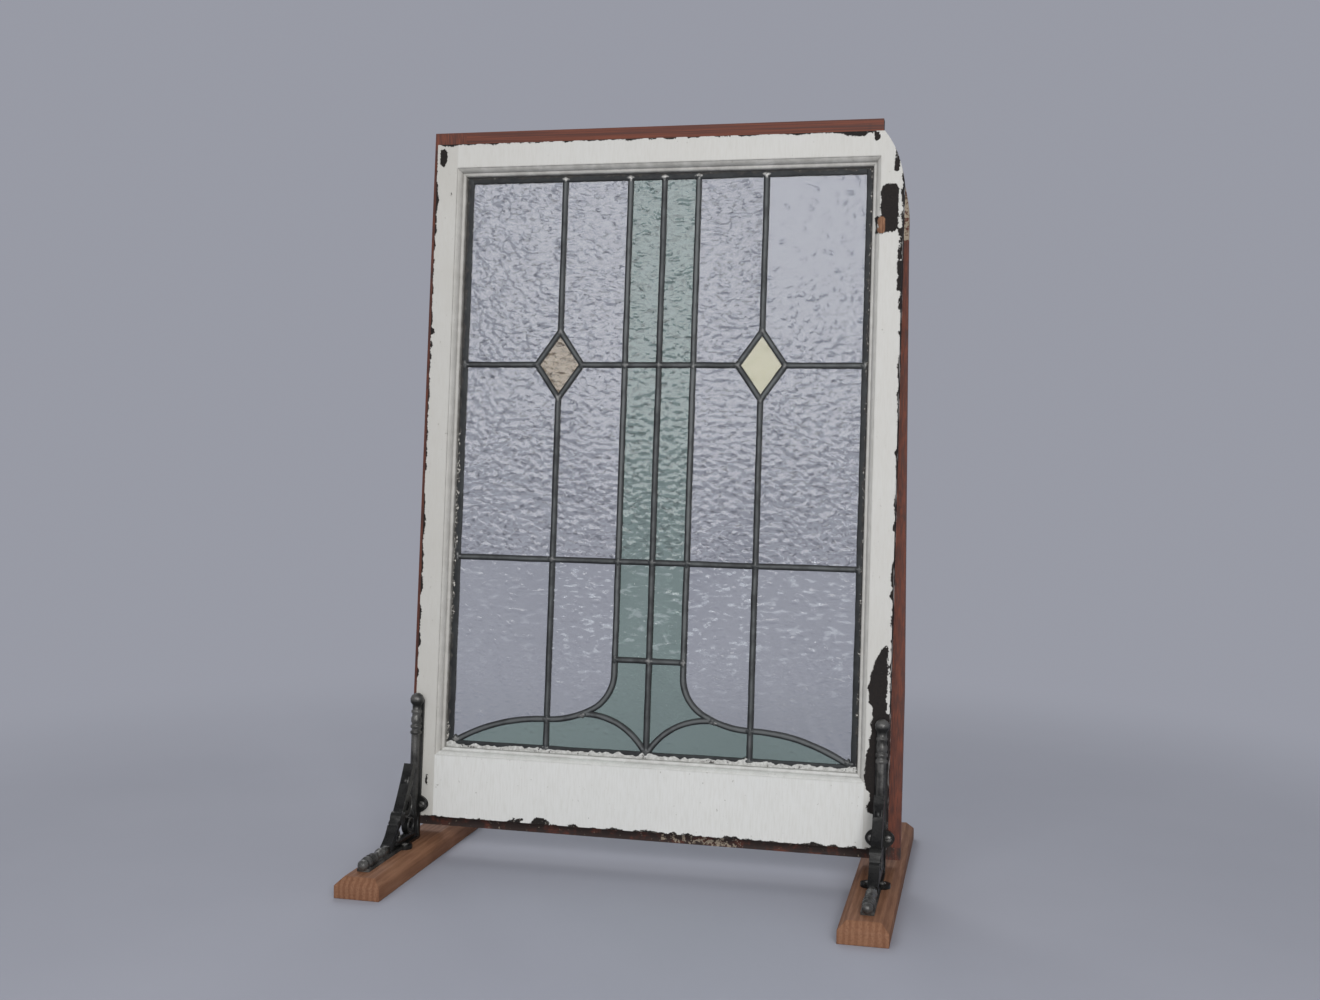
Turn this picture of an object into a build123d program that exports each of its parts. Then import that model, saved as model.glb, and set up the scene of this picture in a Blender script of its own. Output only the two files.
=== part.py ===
from build123d import *
import os
from math import cos, pi, radians, sin, sqrt, tan

# Leaded casement sash standing on two chamfered feet, held upright by two
# openwork iron brackets. Millimetres. X runs across the panel, -Y is the front,
# Z is up. The origin is on the ground, midway between the feet.

# Lead grid, measured between the visible centre lines of the lead
GRID_HALF_W = 275.0
GRID_H = 775.0
OUTER_COLUMN_X = 139.0
INNER_COLUMN_X = 47.0
UPPER_BAR_Y = 520.0
MIDDLE_BAR_Y = 255.0
LOWER_BAR_Y = 124.0
DIAMOND_HALF_W = 32.0
DIAMOND_HALF_H = 45.5

# Curved leads at the foot of the grid
SHOULDER_Y = 39.5
FLARE_STRAIGHT = 18.0
FLARE_SPLIT = 60.0
ROOT_CREST_X = 84.0
ROOT_CREST_Y = 49.5

# Lead came section
CAME_W = 8.0
CAME_T = 6.0
HEART_T = 1.6
CHANNEL_GAP = 3.6
FLANGE_EDGE = 0.5
CROWN_SHARE = 0.45
BORDER_CAME_W = 14.0

# Glass
GLASS_T = 3.0
GLASS_EDGE_CLEAR = 0.5

# Timber sash. Face widths run out from the sight edge, lips out from the face
STILE_FACE_W = 40.0
TOP_FACE_W = 43.0
BOTTOM_FACE_W = 93.0
SIDE_LIP = 16.0
TOP_LIP = 25.0
BOTTOM_LIP = 17.0
FACE_FRONT = 20.0
LIP_FRONT = -10.0
SASH_BACK = -24.0
SIGHT_MARGIN = 5.0
MOULDING_W = 10.0
REBATE_CLEAR = 1.0
BEAD_R = 3.0
BEAD_FRONT = 11.0
QUIRK = 1.2
FACE_STEP = 1.5
TENON_T = 12.0
TENON_L = 26.0
TENON_HAUNCH = 6.0
TENON_SHOULDER = 1.0
TENON_CLEAR = 0.2
PUTTY_RISE = 12.0

# Worn upper corner of the right stile and its planed lip. The bulge shares place
# the middle of the worn curve between its ends
WORN_FACE_RUN = 26.0
WORN_FACE_DROP = 84.0
WORN_LIP_RUN = 46.0
WORN_LIP_DROP = 158.0
WORN_LIP_STEP = 5.0
WORN_BULGE_RUN = 0.28
WORN_BULGE_DROP = 0.4
PLANED_LIP = 10.0
PLANED_LIP_START_Y = 100.0

# Feet
FOOT_W = 60.0
FOOT_L = 470.0
FOOT_H = 26.0
FOOT_CHAMFER = 10.0
FOOT_INSET = 10.0

# Stance of the panel
LEAN = 5.0
SASH_LIFT = 9.5
PANEL_Y = -8.0

# Iron brackets. Beads are given as place along the bar, radius and half length
BRACKET_OFFSETS = (-5.0, 2.0)
BRACKET_RISE = 196.5
BRACKET_REACH = 172.0
PLATE_W = 16.0
PLATE_T = 4.0
BAR_AXIS = 8.5
BAR_R = 6.0
BAR_SIDES = 12
KNOB_R = 9.5
TIP_R = 7.0
BALL_ANGLES = (-50, -20, 10, 40, 70)
POST_BEADS = [(143.0, 7.8, 3.0), (151.0, 7.8, 3.0), (160.0, 7.2, 5.0), (171.0, 7.4, 2.5)]
REACH_BEADS = [(113.0, 7.4, 4.0), (136.0, 7.4, 2.5), (144.0, 7.8, 3.0), (153.0, 7.8, 3.5)]
BRACE_T = 13.0
BRACE_DEPTH = 11.0
BRACE_HEAD = (16.0, 103.0)
BRACE_BULGE = (38.5, 66.5)
BOSS_P = 57.0
BOSS_H = 41.0
BOSS_R = 8.5
BOSS_T = 15.0
HEEL_P = 70.0
HEEL_H = 33.0
BRACE_HOLLOW = (79.0, 21.0)
BRACE_FOOT = 96.0
SCROLL_EYE_SHARE = 0.4
SCROLL_T = 8.0
SCROLLS = [(23.0, 23.0, 11.5), (25.0, 82.0, 10.5), (34.0, 52.0, 16.5), (66.0, 19.0, 8.5)]
SCROLL_SIDES = 24
EAR_SPAN = 18.5
EAR_R = 12.5
EAR_T = 5.0
FOOT_EAR_R = 10.0
FOOT_EAR_OFFSET = 8.5
SASH_EAR_H = 46.0
FOOT_EAR_P = 53.0

# How far a cutting shape runs past what it cuts
OVERCUT = 1.0

# Sizes worked out from the ones above
HALF_CAME = CAME_W / 2
GLASS_INSET = HEART_T / 2 + GLASS_EDGE_CLEAR
BORDER_HEART = BORDER_CAME_W / 2 - HALF_CAME
BORDER_X = GRID_HALF_W + BORDER_HEART
BORDER_TOP = GRID_H + BORDER_HEART
BORDER_BOTTOM = -BORDER_HEART
GRID_INNER_X = GRID_HALF_W - HALF_CAME
GRID_INNER_TOP = GRID_H - HALF_CAME
GRID_INNER_BOTTOM = HALF_CAME
SIGHT_HALF_W = GRID_HALF_W + SIGHT_MARGIN
SIGHT_TOP = GRID_H + SIGHT_MARGIN
SIGHT_BOTTOM = -SIGHT_MARGIN
REBATE = BORDER_CAME_W - HALF_CAME - SIGHT_MARGIN + REBATE_CLEAR
SHOULDER_Z = CAME_T / 2
FACE_HALF_W = SIGHT_HALF_W + STILE_FACE_W
FACE_TOP = SIGHT_TOP + TOP_FACE_W
FACE_BOTTOM = SIGHT_BOTTOM - BOTTOM_FACE_W
LIP_HALF_W = FACE_HALF_W + SIDE_LIP
LIP_TOP = FACE_TOP + TOP_LIP
LIP_BOTTOM = FACE_BOTTOM - BOTTOM_LIP
FOOT_X = FACE_HALF_W - FOOT_INSET
LEAN_COS = cos(radians(LEAN))
LEAN_SIN = sin(radians(LEAN))
GLASS_MID_HEIGHT = FOOT_H + SASH_LIFT - LIP_BOTTOM * LEAN_COS - SASH_BACK * LEAN_SIN
FACE_SETBACK = (GLASS_MID_HEIGHT - FOOT_H) * tan(radians(LEAN))
FACE_Y_AT_FOOT = PANEL_Y - FACE_FRONT / LEAN_COS - FACE_SETBACK

os.makedirs("parts", exist_ok=True)


def save(name, shape):
    """Write one piece, or several that do not touch, as one file."""
    export_step(shape, f"parts/{name}.step")


def group(pieces):
    """Hold separate solids in one node."""
    solids = [solid for piece in pieces for solid in piece.solids()]
    return solids[0] if len(solids) == 1 else Compound(children=solids)


def stand_up(*pieces):
    """Turn pieces drawn flat, front towards +Z, into their leaning place."""
    place = Location((0, PANEL_Y, GLASS_MID_HEIGHT)) * Rotation(90 - LEAN, 0, 0)
    return place * group(pieces)


def mirrored(shape):
    return mirror(shape, about=Plane.YZ)


def block(x0, x1, y0, y1, z0, z1):
    """A box given by its two corners."""
    box = Box(x1 - x0, y1 - y0, z1 - z0, align=(Align.MIN,) * 3)
    return Location((x0, y0, z0)) * box


def prism(points, z0, z1):
    """A straight-sided outline in the drawing plane, raised from z0 to z1."""
    return Location((0, 0, z0)) * extrude(make_face(Polyline(*points, close=True)), z1 - z0)


# Leads

def came_section(width):
    """H section: two crowned flanges joined by the heart, on its own plane."""
    half = width / 2
    inner = CHANNEL_GAP / 2
    rim = inner + FLANGE_EDGE
    heart = HEART_T / 2
    crown = CAME_T / 2
    cheek = half * CROWN_SHARE
    quarter = [(heart, inner), (half, inner), (half, rim), (cheek, crown)]
    upper = quarter + [(-x, y) for x, y in reversed(quarter)]
    lower = [(-x, -y) for x, y in upper]
    return make_face(Polyline(*upper, *lower, close=True))


def came(path, width=CAME_W):
    """Lead came drawn along a line or a chain of arcs."""
    start = path @ 0
    along = path % 0
    across = Vector(0, 0, 1).cross(along)
    plane = Plane(origin=start, x_dir=across, z_dir=along)
    return sweep(plane * came_section(width), path=path)


def straight(x0, y0, x1, y1, width=CAME_W):
    return came(Line((x0, y0), (x1, y1)), width)


def flare_path(side, top):
    """Inner column from its top end down, then curling outwards to the shoulder."""
    drop = LOWER_BAR_Y - SHOULDER_Y - FLARE_STRAIGHT
    reach = OUTER_COLUMN_X - INNER_COLUMN_X
    s = sin(radians(FLARE_SPLIT))
    c = cos(radians(FLARE_SPLIT))
    wide = (reach * s - drop * (1 - c)) / (c * s - (1 - s) * (1 - c))
    tight = (drop - wide * (1 - s)) / s
    x = side * INNER_COLUMN_X
    bend_y = LOWER_BAR_Y - FLARE_STRAIGHT
    run = Line((x, top), (x, bend_y))
    first = JernArc(run @ 1, run % 1, tight, side * FLARE_SPLIT)
    second = JernArc(first @ 1, first % 1, wide, side * (90 - FLARE_SPLIT))
    return Wire([run.edge(), first.edge(), second.edge()])


def wave_path(side):
    """Shoulder curve from the outer column down into the bottom corner of the border."""
    run = BORDER_X - OUTER_COLUMN_X
    drop = SHOULDER_Y - BORDER_BOTTOM
    radius = (run ** 2 + drop ** 2) / (2 * drop)
    middle = run / 2
    via_y = SHOULDER_Y - radius + sqrt(radius ** 2 - middle ** 2)
    start = (side * OUTER_COLUMN_X, SHOULDER_Y)
    via = (side * (OUTER_COLUMN_X + middle), via_y)
    return ThreePointArc(start, via, (side * BORDER_X, BORDER_BOTTOM))


def root_path(side):
    """Arc from inside the flare, over its crest, down to the foot of the centre lead."""
    radius = (ROOT_CREST_X ** 2 + ROOT_CREST_Y ** 2) / (2 * ROOT_CREST_Y)
    start_y = ROOT_CREST_Y - radius + sqrt(radius ** 2 - HALF_CAME ** 2)
    middle = ROOT_CREST_X / 2
    via_y = ROOT_CREST_Y - radius + sqrt(radius ** 2 - middle ** 2)
    start = (side * (ROOT_CREST_X + HALF_CAME), start_y)
    return ThreePointArc(start, (side * middle, via_y), (0, 0))


def diamond_points(side):
    x = side * OUTER_COLUMN_X
    return [
        (x, UPPER_BAR_Y + DIAMOND_HALF_H),
        (x + DIAMOND_HALF_W, UPPER_BAR_Y),
        (x, UPPER_BAR_Y - DIAMOND_HALF_H),
        (x - DIAMOND_HALF_W, UPPER_BAR_Y),
    ]


def diamond_solid(side, grow, thickness):
    """Diamond prism whose edges lie a set distance outside the centre lines."""
    slope = sqrt(DIAMOND_HALF_W ** 2 + DIAMOND_HALF_H ** 2)
    half_w = DIAMOND_HALF_W + grow * slope / DIAMOND_HALF_H
    half_h = DIAMOND_HALF_H + grow * slope / DIAMOND_HALF_W
    x = side * OUTER_COLUMN_X
    y = UPPER_BAR_Y
    points = [(x, y + half_h), (x + half_w, y), (x, y - half_h), (x - half_w, y)]
    return prism(points, -thickness / 2, thickness / 2)


def diamond_came(side):
    """Closed diamond of came with mitred corners, started half way along one edge."""
    points = diamond_points(side)
    half_way = ((points[0][0] + points[1][0]) / 2, (points[0][1] + points[1][1]) / 2)
    path = Polyline(half_way, *points[1:], points[0], half_way)
    along = path % 0
    plane = Plane(origin=path @ 0, x_dir=Vector(0, 0, 1).cross(along), z_dir=along)
    return sweep(plane * came_section(CAME_W), path=path, transition=Transition.RIGHT)


def band(path, width, thickness):
    """Square strip that follows a lead, used to trim what meets it."""
    return Location((0, 0, -thickness / 2)) * extrude(trace(path, width), thickness)


def border_cames():
    """Wide cames round the edge: the uprights run through, the others butt."""
    half = BORDER_CAME_W / 2
    low = BORDER_BOTTOM - half
    high = BORDER_TOP + half
    save("border_came_left", stand_up(straight(-BORDER_X, low, -BORDER_X, high, BORDER_CAME_W)))
    save("border_came_right", stand_up(straight(BORDER_X, low, BORDER_X, high, BORDER_CAME_W)))
    inner = GRID_INNER_X
    save("border_came_top", stand_up(straight(-inner, BORDER_TOP, inner, BORDER_TOP, BORDER_CAME_W)))
    save("border_came_bottom", stand_up(straight(-inner, BORDER_BOTTOM, inner, BORDER_BOTTOM, BORDER_CAME_W)))


def upright_cames():
    """Centre lead, the two flaring inner leads and the broken outer leads."""
    save("centre_came", stand_up(straight(0, GRID_INNER_BOTTOM, 0, GRID_INNER_TOP)))
    for side, word in ((-1, "left"), (1, "right")):
        x = side * OUTER_COLUMN_X
        column = block(x - HALF_CAME, x + HALF_CAME, GRID_INNER_BOTTOM, GRID_INNER_TOP, -CAME_T, CAME_T)
        inner = came(flare_path(side, GRID_INNER_TOP)) - column
        save(f"inner_came_{word}", stand_up(inner))
        gap = diamond_solid(side, HALF_CAME, 2 * CAME_T)
        outer = straight(x, GRID_INNER_BOTTOM, x, GRID_INNER_TOP) - gap
        save(f"outer_came_{word}", stand_up(outer))
        save(f"diamond_came_{word}", stand_up(diamond_came(side)))


def curved_cames():
    """Shoulder waves to the corners and root arcs to the foot of the centre lead."""
    inside = block(-GRID_INNER_X, GRID_INNER_X, GRID_INNER_BOTTOM, GRID_INNER_TOP, -CAME_T, CAME_T)
    centre = block(-HALF_CAME, HALF_CAME, 0, GRID_INNER_TOP, -CAME_T, CAME_T)
    roots = []
    for side, word in ((-1, "left"), (1, "right")):
        x = side * OUTER_COLUMN_X
        column = block(x - HALF_CAME, x + HALF_CAME, 0, GRID_INNER_TOP, -CAME_T, CAME_T)
        wave = (came(wave_path(side)) & inside) - column
        save(f"wave_came_{word}", stand_up(wave))
        flare = band(flare_path(side, LOWER_BAR_Y), CAME_W, 2 * CAME_T)
        roots.append(((came(root_path(side)) & inside) - centre) - flare)
    save("root_cames", stand_up(*roots))


def crossbars():
    """Short horizontal leads, cut between the uprights."""
    middle_ends = [0, INNER_COLUMN_X, OUTER_COLUMN_X, GRID_HALF_W]
    upper = []
    middle = []
    lower = []
    for side in (-1, 1):
        for near, far in zip(middle_ends, middle_ends[1:]):
            x0 = side * (near + HALF_CAME)
            x1 = side * (far - HALF_CAME)
            middle.append(straight(x0, MIDDLE_BAR_Y, x1, MIDDLE_BAR_Y))
            upper.append(straight(x0, UPPER_BAR_Y, x1, UPPER_BAR_Y) - diamond_solid(side, HALF_CAME, 2 * CAME_T))
        x0 = side * HALF_CAME
        x1 = side * (INNER_COLUMN_X - HALF_CAME)
        lower.append(straight(x0, LOWER_BAR_Y, x1, LOWER_BAR_Y))
    save("crossbars_upper", stand_up(*upper))
    save("crossbars_middle", stand_up(*middle))
    save("crossbars_lower", stand_up(*lower))


# Glass

def lead_lines():
    """Centre lines of every lead inside the border."""
    top = BORDER_TOP
    lines = [Line((0, BORDER_BOTTOM), (0, top))]
    for side in (-1, 1):
        x = side * OUTER_COLUMN_X
        edge = side * BORDER_X
        inner = side * INNER_COLUMN_X
        points = diamond_points(side)
        lines.append(flare_path(side, top))
        lines.append(wave_path(side))
        lines.append(root_path(side))
        lines.append(Line((x, BORDER_BOTTOM), points[2]))
        lines.append(Line(points[0], (x, top)))
        for first, second in zip(points, points[1:] + points[:1]):
            lines.append(Line(first, second))
        lines.append(Line((0, MIDDLE_BAR_Y), (edge, MIDDLE_BAR_Y)))
        lines.append(Line((0, LOWER_BAR_Y), (inner, LOWER_BAR_Y)))
        lines.append(Line((0, UPPER_BAR_Y), (x - side * DIAMOND_HALF_W, UPPER_BAR_Y)))
        lines.append(Line((x + side * DIAMOND_HALF_W, UPPER_BAR_Y), (edge, UPPER_BAR_Y)))
    return lines


def pane_name(x, y):
    """Node that a pane belongs to, from the place of its middle."""
    side = "left" if x < 0 else "right"
    away = abs(x)
    if abs(away - OUTER_COLUMN_X) < 2 and abs(y - UPPER_BAR_Y) < 2:
        return f"glass_diamond_{side}"
    if y > UPPER_BAR_Y:
        return "glass_top_middle" if away < INNER_COLUMN_X else f"glass_top_{side}"
    if y > MIDDLE_BAR_Y:
        return "glass_centre_middle" if away < INNER_COLUMN_X else f"glass_centre_{side}"
    if away < INNER_COLUMN_X:
        return "glass_lower_middle" if y > LOWER_BAR_Y else "glass_flare"
    return f"glass_lower_{side}" if y > SHOULDER_Y + HALF_CAME else f"glass_base_{side}"


def glass_panes():
    """Cut the sheet along the hearts of the leads and sort the panes into nodes."""
    inset = GLASS_INSET
    width = 2 * (BORDER_X - inset)
    height = BORDER_TOP - BORDER_BOTTOM - 2 * inset
    sheet = Location((0, (BORDER_TOP + BORDER_BOTTOM) / 2, 0)) * Rectangle(width, height)
    for line in lead_lines():
        sheet = sheet - trace(line, 2 * inset)
    nodes = {}
    for face in sheet.faces():
        middle = face.center()
        pane = Location((0, 0, -GLASS_T / 2)) * extrude(face, GLASS_T, dir=(0, 0, 1))
        nodes.setdefault(pane_name(middle.X, middle.Y), []).append(pane)
    for name, panes in nodes.items():
        save(name, stand_up(*panes))


# Timber

def moulding_section():
    """Inner edge of the sash: x is the distance out from the sight edge, y the height."""
    ovolo_start = BEAD_R + QUIRK
    ovolo_end = MOULDING_W
    ovolo_top = FACE_FRONT - FACE_STEP
    bead = RadiusArc((0, BEAD_FRONT - BEAD_R), (BEAD_R, BEAD_FRONT), BEAD_R)
    ovolo = RadiusArc((ovolo_start, BEAD_FRONT), (ovolo_end, ovolo_top), ovolo_top - BEAD_FRONT + 1)
    return bead, ovolo


def member_section(face_edge, lip_edge):
    """Section of a stile or rail; x is measured out from the sight edge."""
    bead, ovolo = moulding_section()
    back = Polyline(
        ovolo @ 1,
        (MOULDING_W, FACE_FRONT),
        (face_edge, FACE_FRONT),
        (face_edge, LIP_FRONT),
        (lip_edge, LIP_FRONT),
        (lip_edge, SASH_BACK),
        (REBATE, SASH_BACK),
        (REBATE, SHOULDER_Z),
        (0, SHOULDER_Z),
        bead @ 0,
    )
    return make_face(bead + Line(bead @ 1, ovolo @ 0) + ovolo + back)


def stile(side):
    """Full-height upright, moulded inside, with its lip round the back edge."""
    section = member_section(FACE_HALF_W - SIGHT_HALF_W, LIP_HALF_W - SIGHT_HALF_W)
    plane = Plane(origin=(SIGHT_HALF_W, LIP_BOTTOM, 0), x_dir=(1, 0, 0), z_dir=(0, -1, 0))
    body = extrude(plane * section, LIP_BOTTOM - LIP_TOP)
    joint = SIGHT_HALF_W + MOULDING_W
    notch = SIGHT_HALF_W - OVERCUT
    region_points = [
        (joint, LIP_BOTTOM),
        (LIP_HALF_W, LIP_BOTTOM),
        (LIP_HALF_W, LIP_TOP),
        (joint, LIP_TOP),
        (joint, SIGHT_TOP + MOULDING_W),
        (notch, SIGHT_TOP - OVERCUT),
        (notch, SIGHT_BOTTOM + OVERCUT),
        (joint, SIGHT_BOTTOM - MOULDING_W),
    ]
    body = body & prism(region_points, SASH_BACK, FACE_FRONT)
    for low, high in ((FACE_TOP, LIP_TOP), (LIP_BOTTOM, FACE_BOTTOM)):
        body -= block(joint - OVERCUT, LIP_HALF_W, low, high, LIP_FRONT, FACE_FRONT)
    for mortise in (top_tenon(TENON_CLEAR), bottom_tenon(TENON_CLEAR)):
        body -= mortise
    return mirrored(body) if side < 0 else body


def tenon(low, high, clear):
    """Tongue of a rail that enters the right stile, or its mortise when given clearance."""
    joint = SIGHT_HALF_W + MOULDING_W
    middle = (SHOULDER_Z + SASH_BACK) / 2
    half = TENON_T / 2 + clear
    return block(joint, joint + TENON_L + clear, low - clear, high + clear, middle - half, middle + half)


def top_tenon(clear=0.0):
    return tenon(SIGHT_TOP + MOULDING_W + TENON_SHOULDER, FACE_TOP - TENON_HAUNCH, clear)


def bottom_tenon(clear=0.0):
    return tenon(FACE_BOTTOM + TENON_HAUNCH, SIGHT_BOTTOM - MOULDING_W - TENON_SHOULDER, clear)


def rail(sight, face_edge, lip_edge, direction):
    """Cross member between the stiles; direction is +1 for the top, -1 for the bottom."""
    section = member_section(abs(face_edge - sight), abs(lip_edge - sight))
    joint = SIGHT_HALF_W + MOULDING_W
    plane = Plane(origin=(-joint, sight, 0), x_dir=(0, direction, 0), z_dir=(direction, 0, 0))
    body = extrude(plane * section, direction * 2 * joint)
    inner = sight - direction * OVERCUT
    notch = SIGHT_HALF_W - OVERCUT
    points = [
        (-joint, lip_edge),
        (joint, lip_edge),
        (joint, sight + direction * MOULDING_W),
        (notch, inner),
        (-notch, inner),
        (-joint, sight + direction * MOULDING_W),
    ]
    body = body & prism(points, SASH_BACK, FACE_FRONT)
    tongue = top_tenon() if direction > 0 else bottom_tenon()
    return body + tongue + mirrored(tongue)


def worn_corner(run, drop, edge, top, z0, z1):
    """Piece lost from an upper right corner, with a bulging curved edge."""
    start = (edge, top - drop)
    end = (edge - run, top)
    via = (edge - run * WORN_BULGE_RUN, top - drop * WORN_BULGE_DROP)
    curve = ThreePointArc(start, via, end)
    beyond_x = edge + OVERCUT
    beyond_y = top + OVERCUT
    rest = Polyline(end, (edge - run, beyond_y), (beyond_x, beyond_y), (beyond_x, top - drop), start)
    outline = make_face(curve + rest)
    return Location((0, 0, z0)) * extrude(outline, z1 - z0)


def right_stile():
    """Right stile with its lip planed away upwards and its top corner worn."""
    body = stile(1)
    planed_edge = LIP_HALF_W - PLANED_LIP
    lip_top = LIP_TOP - WORN_LIP_STEP
    knee = lip_top - WORN_LIP_DROP
    planed = [
        (LIP_HALF_W, PLANED_LIP_START_Y),
        (planed_edge, knee),
        (planed_edge, LIP_TOP),
        (LIP_HALF_W, LIP_TOP),
    ]
    body -= prism(planed, SASH_BACK, LIP_FRONT)
    body -= block(SIGHT_HALF_W, LIP_HALF_W, lip_top, LIP_TOP, SASH_BACK, LIP_FRONT)
    lip_back = SASH_BACK - OVERCUT
    face_front = FACE_FRONT + OVERCUT
    body -= worn_corner(WORN_LIP_RUN, WORN_LIP_DROP, planed_edge, lip_top, lip_back, LIP_FRONT)
    body -= worn_corner(WORN_FACE_RUN, WORN_FACE_DROP, FACE_HALF_W, FACE_TOP, LIP_FRONT, face_front)
    return body


def timber_sash():
    save("left_stile", stand_up(stile(-1)))
    save("right_stile", stand_up(right_stile()))
    save("top_rail", stand_up(rail(SIGHT_TOP, FACE_TOP, LIP_TOP, 1)))
    save("bottom_rail", stand_up(rail(SIGHT_BOTTOM, FACE_BOTTOM, LIP_BOTTOM, -1)))


def putty():
    """Sloping fillets, mitred at the corners, that bed the leads from behind."""
    back = -CAME_T / 2
    section = make_face(Polyline((0, back), (REBATE, back), (REBATE, back - PUTTY_RISE), close=True))
    wall_x = SIGHT_HALF_W + REBATE
    for sight, direction, word in ((SIGHT_TOP, 1, "top"), (SIGHT_BOTTOM, -1, "bottom")):
        wall_y = sight + direction * REBATE
        plane = Plane(origin=(-wall_x, sight, 0), x_dir=(0, direction, 0), z_dir=(direction, 0, 0))
        fillet = extrude(plane * section, direction * 2 * wall_x)
        mitre = [(-wall_x, wall_y), (wall_x, wall_y), (SIGHT_HALF_W, sight), (-SIGHT_HALF_W, sight)]
        save(f"putty_{word}", stand_up(fillet & prism(mitre, SASH_BACK, FACE_FRONT)))
    low = SIGHT_BOTTOM - REBATE
    high = SIGHT_TOP + REBATE
    plane = Plane(origin=(SIGHT_HALF_W, low, 0), x_dir=(1, 0, 0), z_dir=(0, -1, 0))
    fillet = extrude(plane * section, low - high)
    mitre = [(SIGHT_HALF_W, SIGHT_BOTTOM), (wall_x, low), (wall_x, high), (SIGHT_HALF_W, SIGHT_TOP)]
    fillet = fillet & prism(mitre, SASH_BACK, FACE_FRONT)
    save("putty_right", stand_up(fillet))
    save("putty_left", stand_up(mirrored(fillet)))


# Feet and iron brackets

def feet():
    """Two plain runners with their upper edges chamfered all round."""
    base = Box(FOOT_W, FOOT_L, FOOT_H, align=(Align.CENTER, Align.CENTER, Align.MIN))
    foot = chamfer(base.faces().sort_by(Axis.Z)[-1].edges(), FOOT_CHAMFER)
    save("left_foot", Location((-FOOT_X, 0, 0)) * foot)
    save("right_foot", Location((FOOT_X, 0, 0)) * foot)


def turned_bar(length, end_r, beads):
    """Bar along the Y axis in flats: plain shaft, chamfered beads and a ball end."""
    rings = [(0, BAR_R)]
    for place, radius, half in beads:
        rings += [(place - half, BAR_R), (place - half / 2, radius)]
        rings += [(place + half / 2, radius), (place + half, BAR_R)]
    ball = length - end_r
    for angle in BALL_ANGLES:
        rings.append((ball + end_r * sin(radians(angle)), end_r * cos(radians(angle))))
    corners = [ring_corners(along, radius) for along, radius in rings]
    faces = [make_face(Polyline(*corners[0], close=True)), make_face(Polyline(*corners[-1], close=True))]
    for lower, upper in zip(corners, corners[1:]):
        for side in range(BAR_SIDES):
            after = (side + 1) % BAR_SIDES
            flat = Polyline(lower[side], lower[after], upper[after], upper[side], close=True)
            faces.append(make_face(flat))
    return Solid(Shell([face.face() for face in faces]))


def ring_corners(along, radius):
    """Corners of one many-sided ring round the Y axis."""
    turns = [2 * pi * side / BAR_SIDES for side in range(BAR_SIDES)]
    return [(radius * cos(turn), along, radius * sin(turn)) for turn in turns]


def cylinder_between(radius, start, direction, length):
    """Cylinder from a point along a direction."""
    plane = Plane(origin=start, z_dir=direction)
    return plane.location * Cylinder(radius, length, align=(Align.CENTER, Align.CENTER, Align.MIN))


def sash_limb():
    """Upright plate flat on the sash, with a turned bar in front and an oval ear plate."""
    bar = Location((BAR_AXIS, 0, 0)) * turned_bar(BRACKET_RISE, KNOB_R, POST_BEADS)
    half = PLATE_W / 2
    bar += block(0, PLATE_T, -PLATE_T, BRACKET_RISE - KNOB_R, -half, half)
    seat = Plane(origin=(0, SASH_EAR_H, 0), x_dir=(0, 0, 1), z_dir=(1, 0, 0))
    bar += extrude(seat * Ellipse(EAR_SPAN, EAR_R), EAR_T)
    bar -= block(-BRACKET_RISE, 0, -BRACKET_RISE, 2 * BRACKET_RISE, -BRACKET_RISE, BRACKET_RISE)
    return Rotation(0, 0, LEAN) * bar


def foot_limb():
    """Level plate flat on the foot, with a turned bar above and two round ears."""
    bar = Location((0, BAR_AXIS, 0)) * (Rotation(0, 0, -90) * turned_bar(BRACKET_REACH, TIP_R, REACH_BEADS))
    half = PLATE_W / 2
    bar += block(0, BRACKET_REACH - TIP_R, 0, PLATE_T, -half, half)
    for side in (-1, 1):
        bar += cylinder_between(FOOT_EAR_R, (FOOT_EAR_P, 0, side * FOOT_EAR_OFFSET), (0, 1, 0), EAR_T)
    return bar


def brace():
    """Bulging strip from the post to the boss, then a hollow strip from the heel to the foot."""
    upper = ThreePointArc(BRACE_HEAD, BRACE_BULGE, (BOSS_P, BOSS_H))
    link = Line((BOSS_P, BOSS_H), (HEEL_P, HEEL_H))
    lower = ThreePointArc((HEEL_P, HEEL_H), BRACE_HOLLOW, (BRACE_FOOT, BAR_AXIS))
    body = band(upper, BRACE_DEPTH, BRACE_T)
    for strip in (link, lower):
        body += band(strip, BRACE_DEPTH, BRACE_T)
    boss = cylinder_between(BOSS_R, (BOSS_P, BOSS_H, -BOSS_T / 2), (0, 0, 1), BOSS_T)
    return body + boss


def scrollwork():
    """Pierced round scrolls that fill the corner between the bars and the brace."""
    rings = []
    for along, up, radius in SCROLLS:
        disc = scroll_disc(along, up, radius, SCROLL_T)
        rings.append(disc - scroll_disc(along, up, radius * SCROLL_EYE_SHARE, 2 * SCROLL_T))
    return rings


def scroll_disc(along, up, radius, thickness):
    """Many-sided disc lying across the casting."""
    outline = Location((along, up, -thickness / 2)) * RegularPolygon(radius, SCROLL_SIDES)
    return extrude(outline, thickness)


def brackets():
    """One casting for each foot, drawn flat and then set up across the panel."""
    casting = sash_limb() + foot_limb() + brace()
    for ring in scrollwork():
        casting += ring
    below = block(-BRACKET_RISE, 2 * BRACKET_REACH, -BRACKET_RISE, 0, -BRACKET_RISE, BRACKET_RISE)
    casting -= below
    for side, offset, word in zip((-1, 1), BRACKET_OFFSETS, ("left", "right")):
        x = side * FOOT_X + offset
        seat = Plane(origin=(x, FACE_Y_AT_FOOT, FOOT_H), x_dir=(0, -1, 0), z_dir=(-1, 0, 0))
        save(f"bracket_{word}", seat.location * group([casting]))


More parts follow.
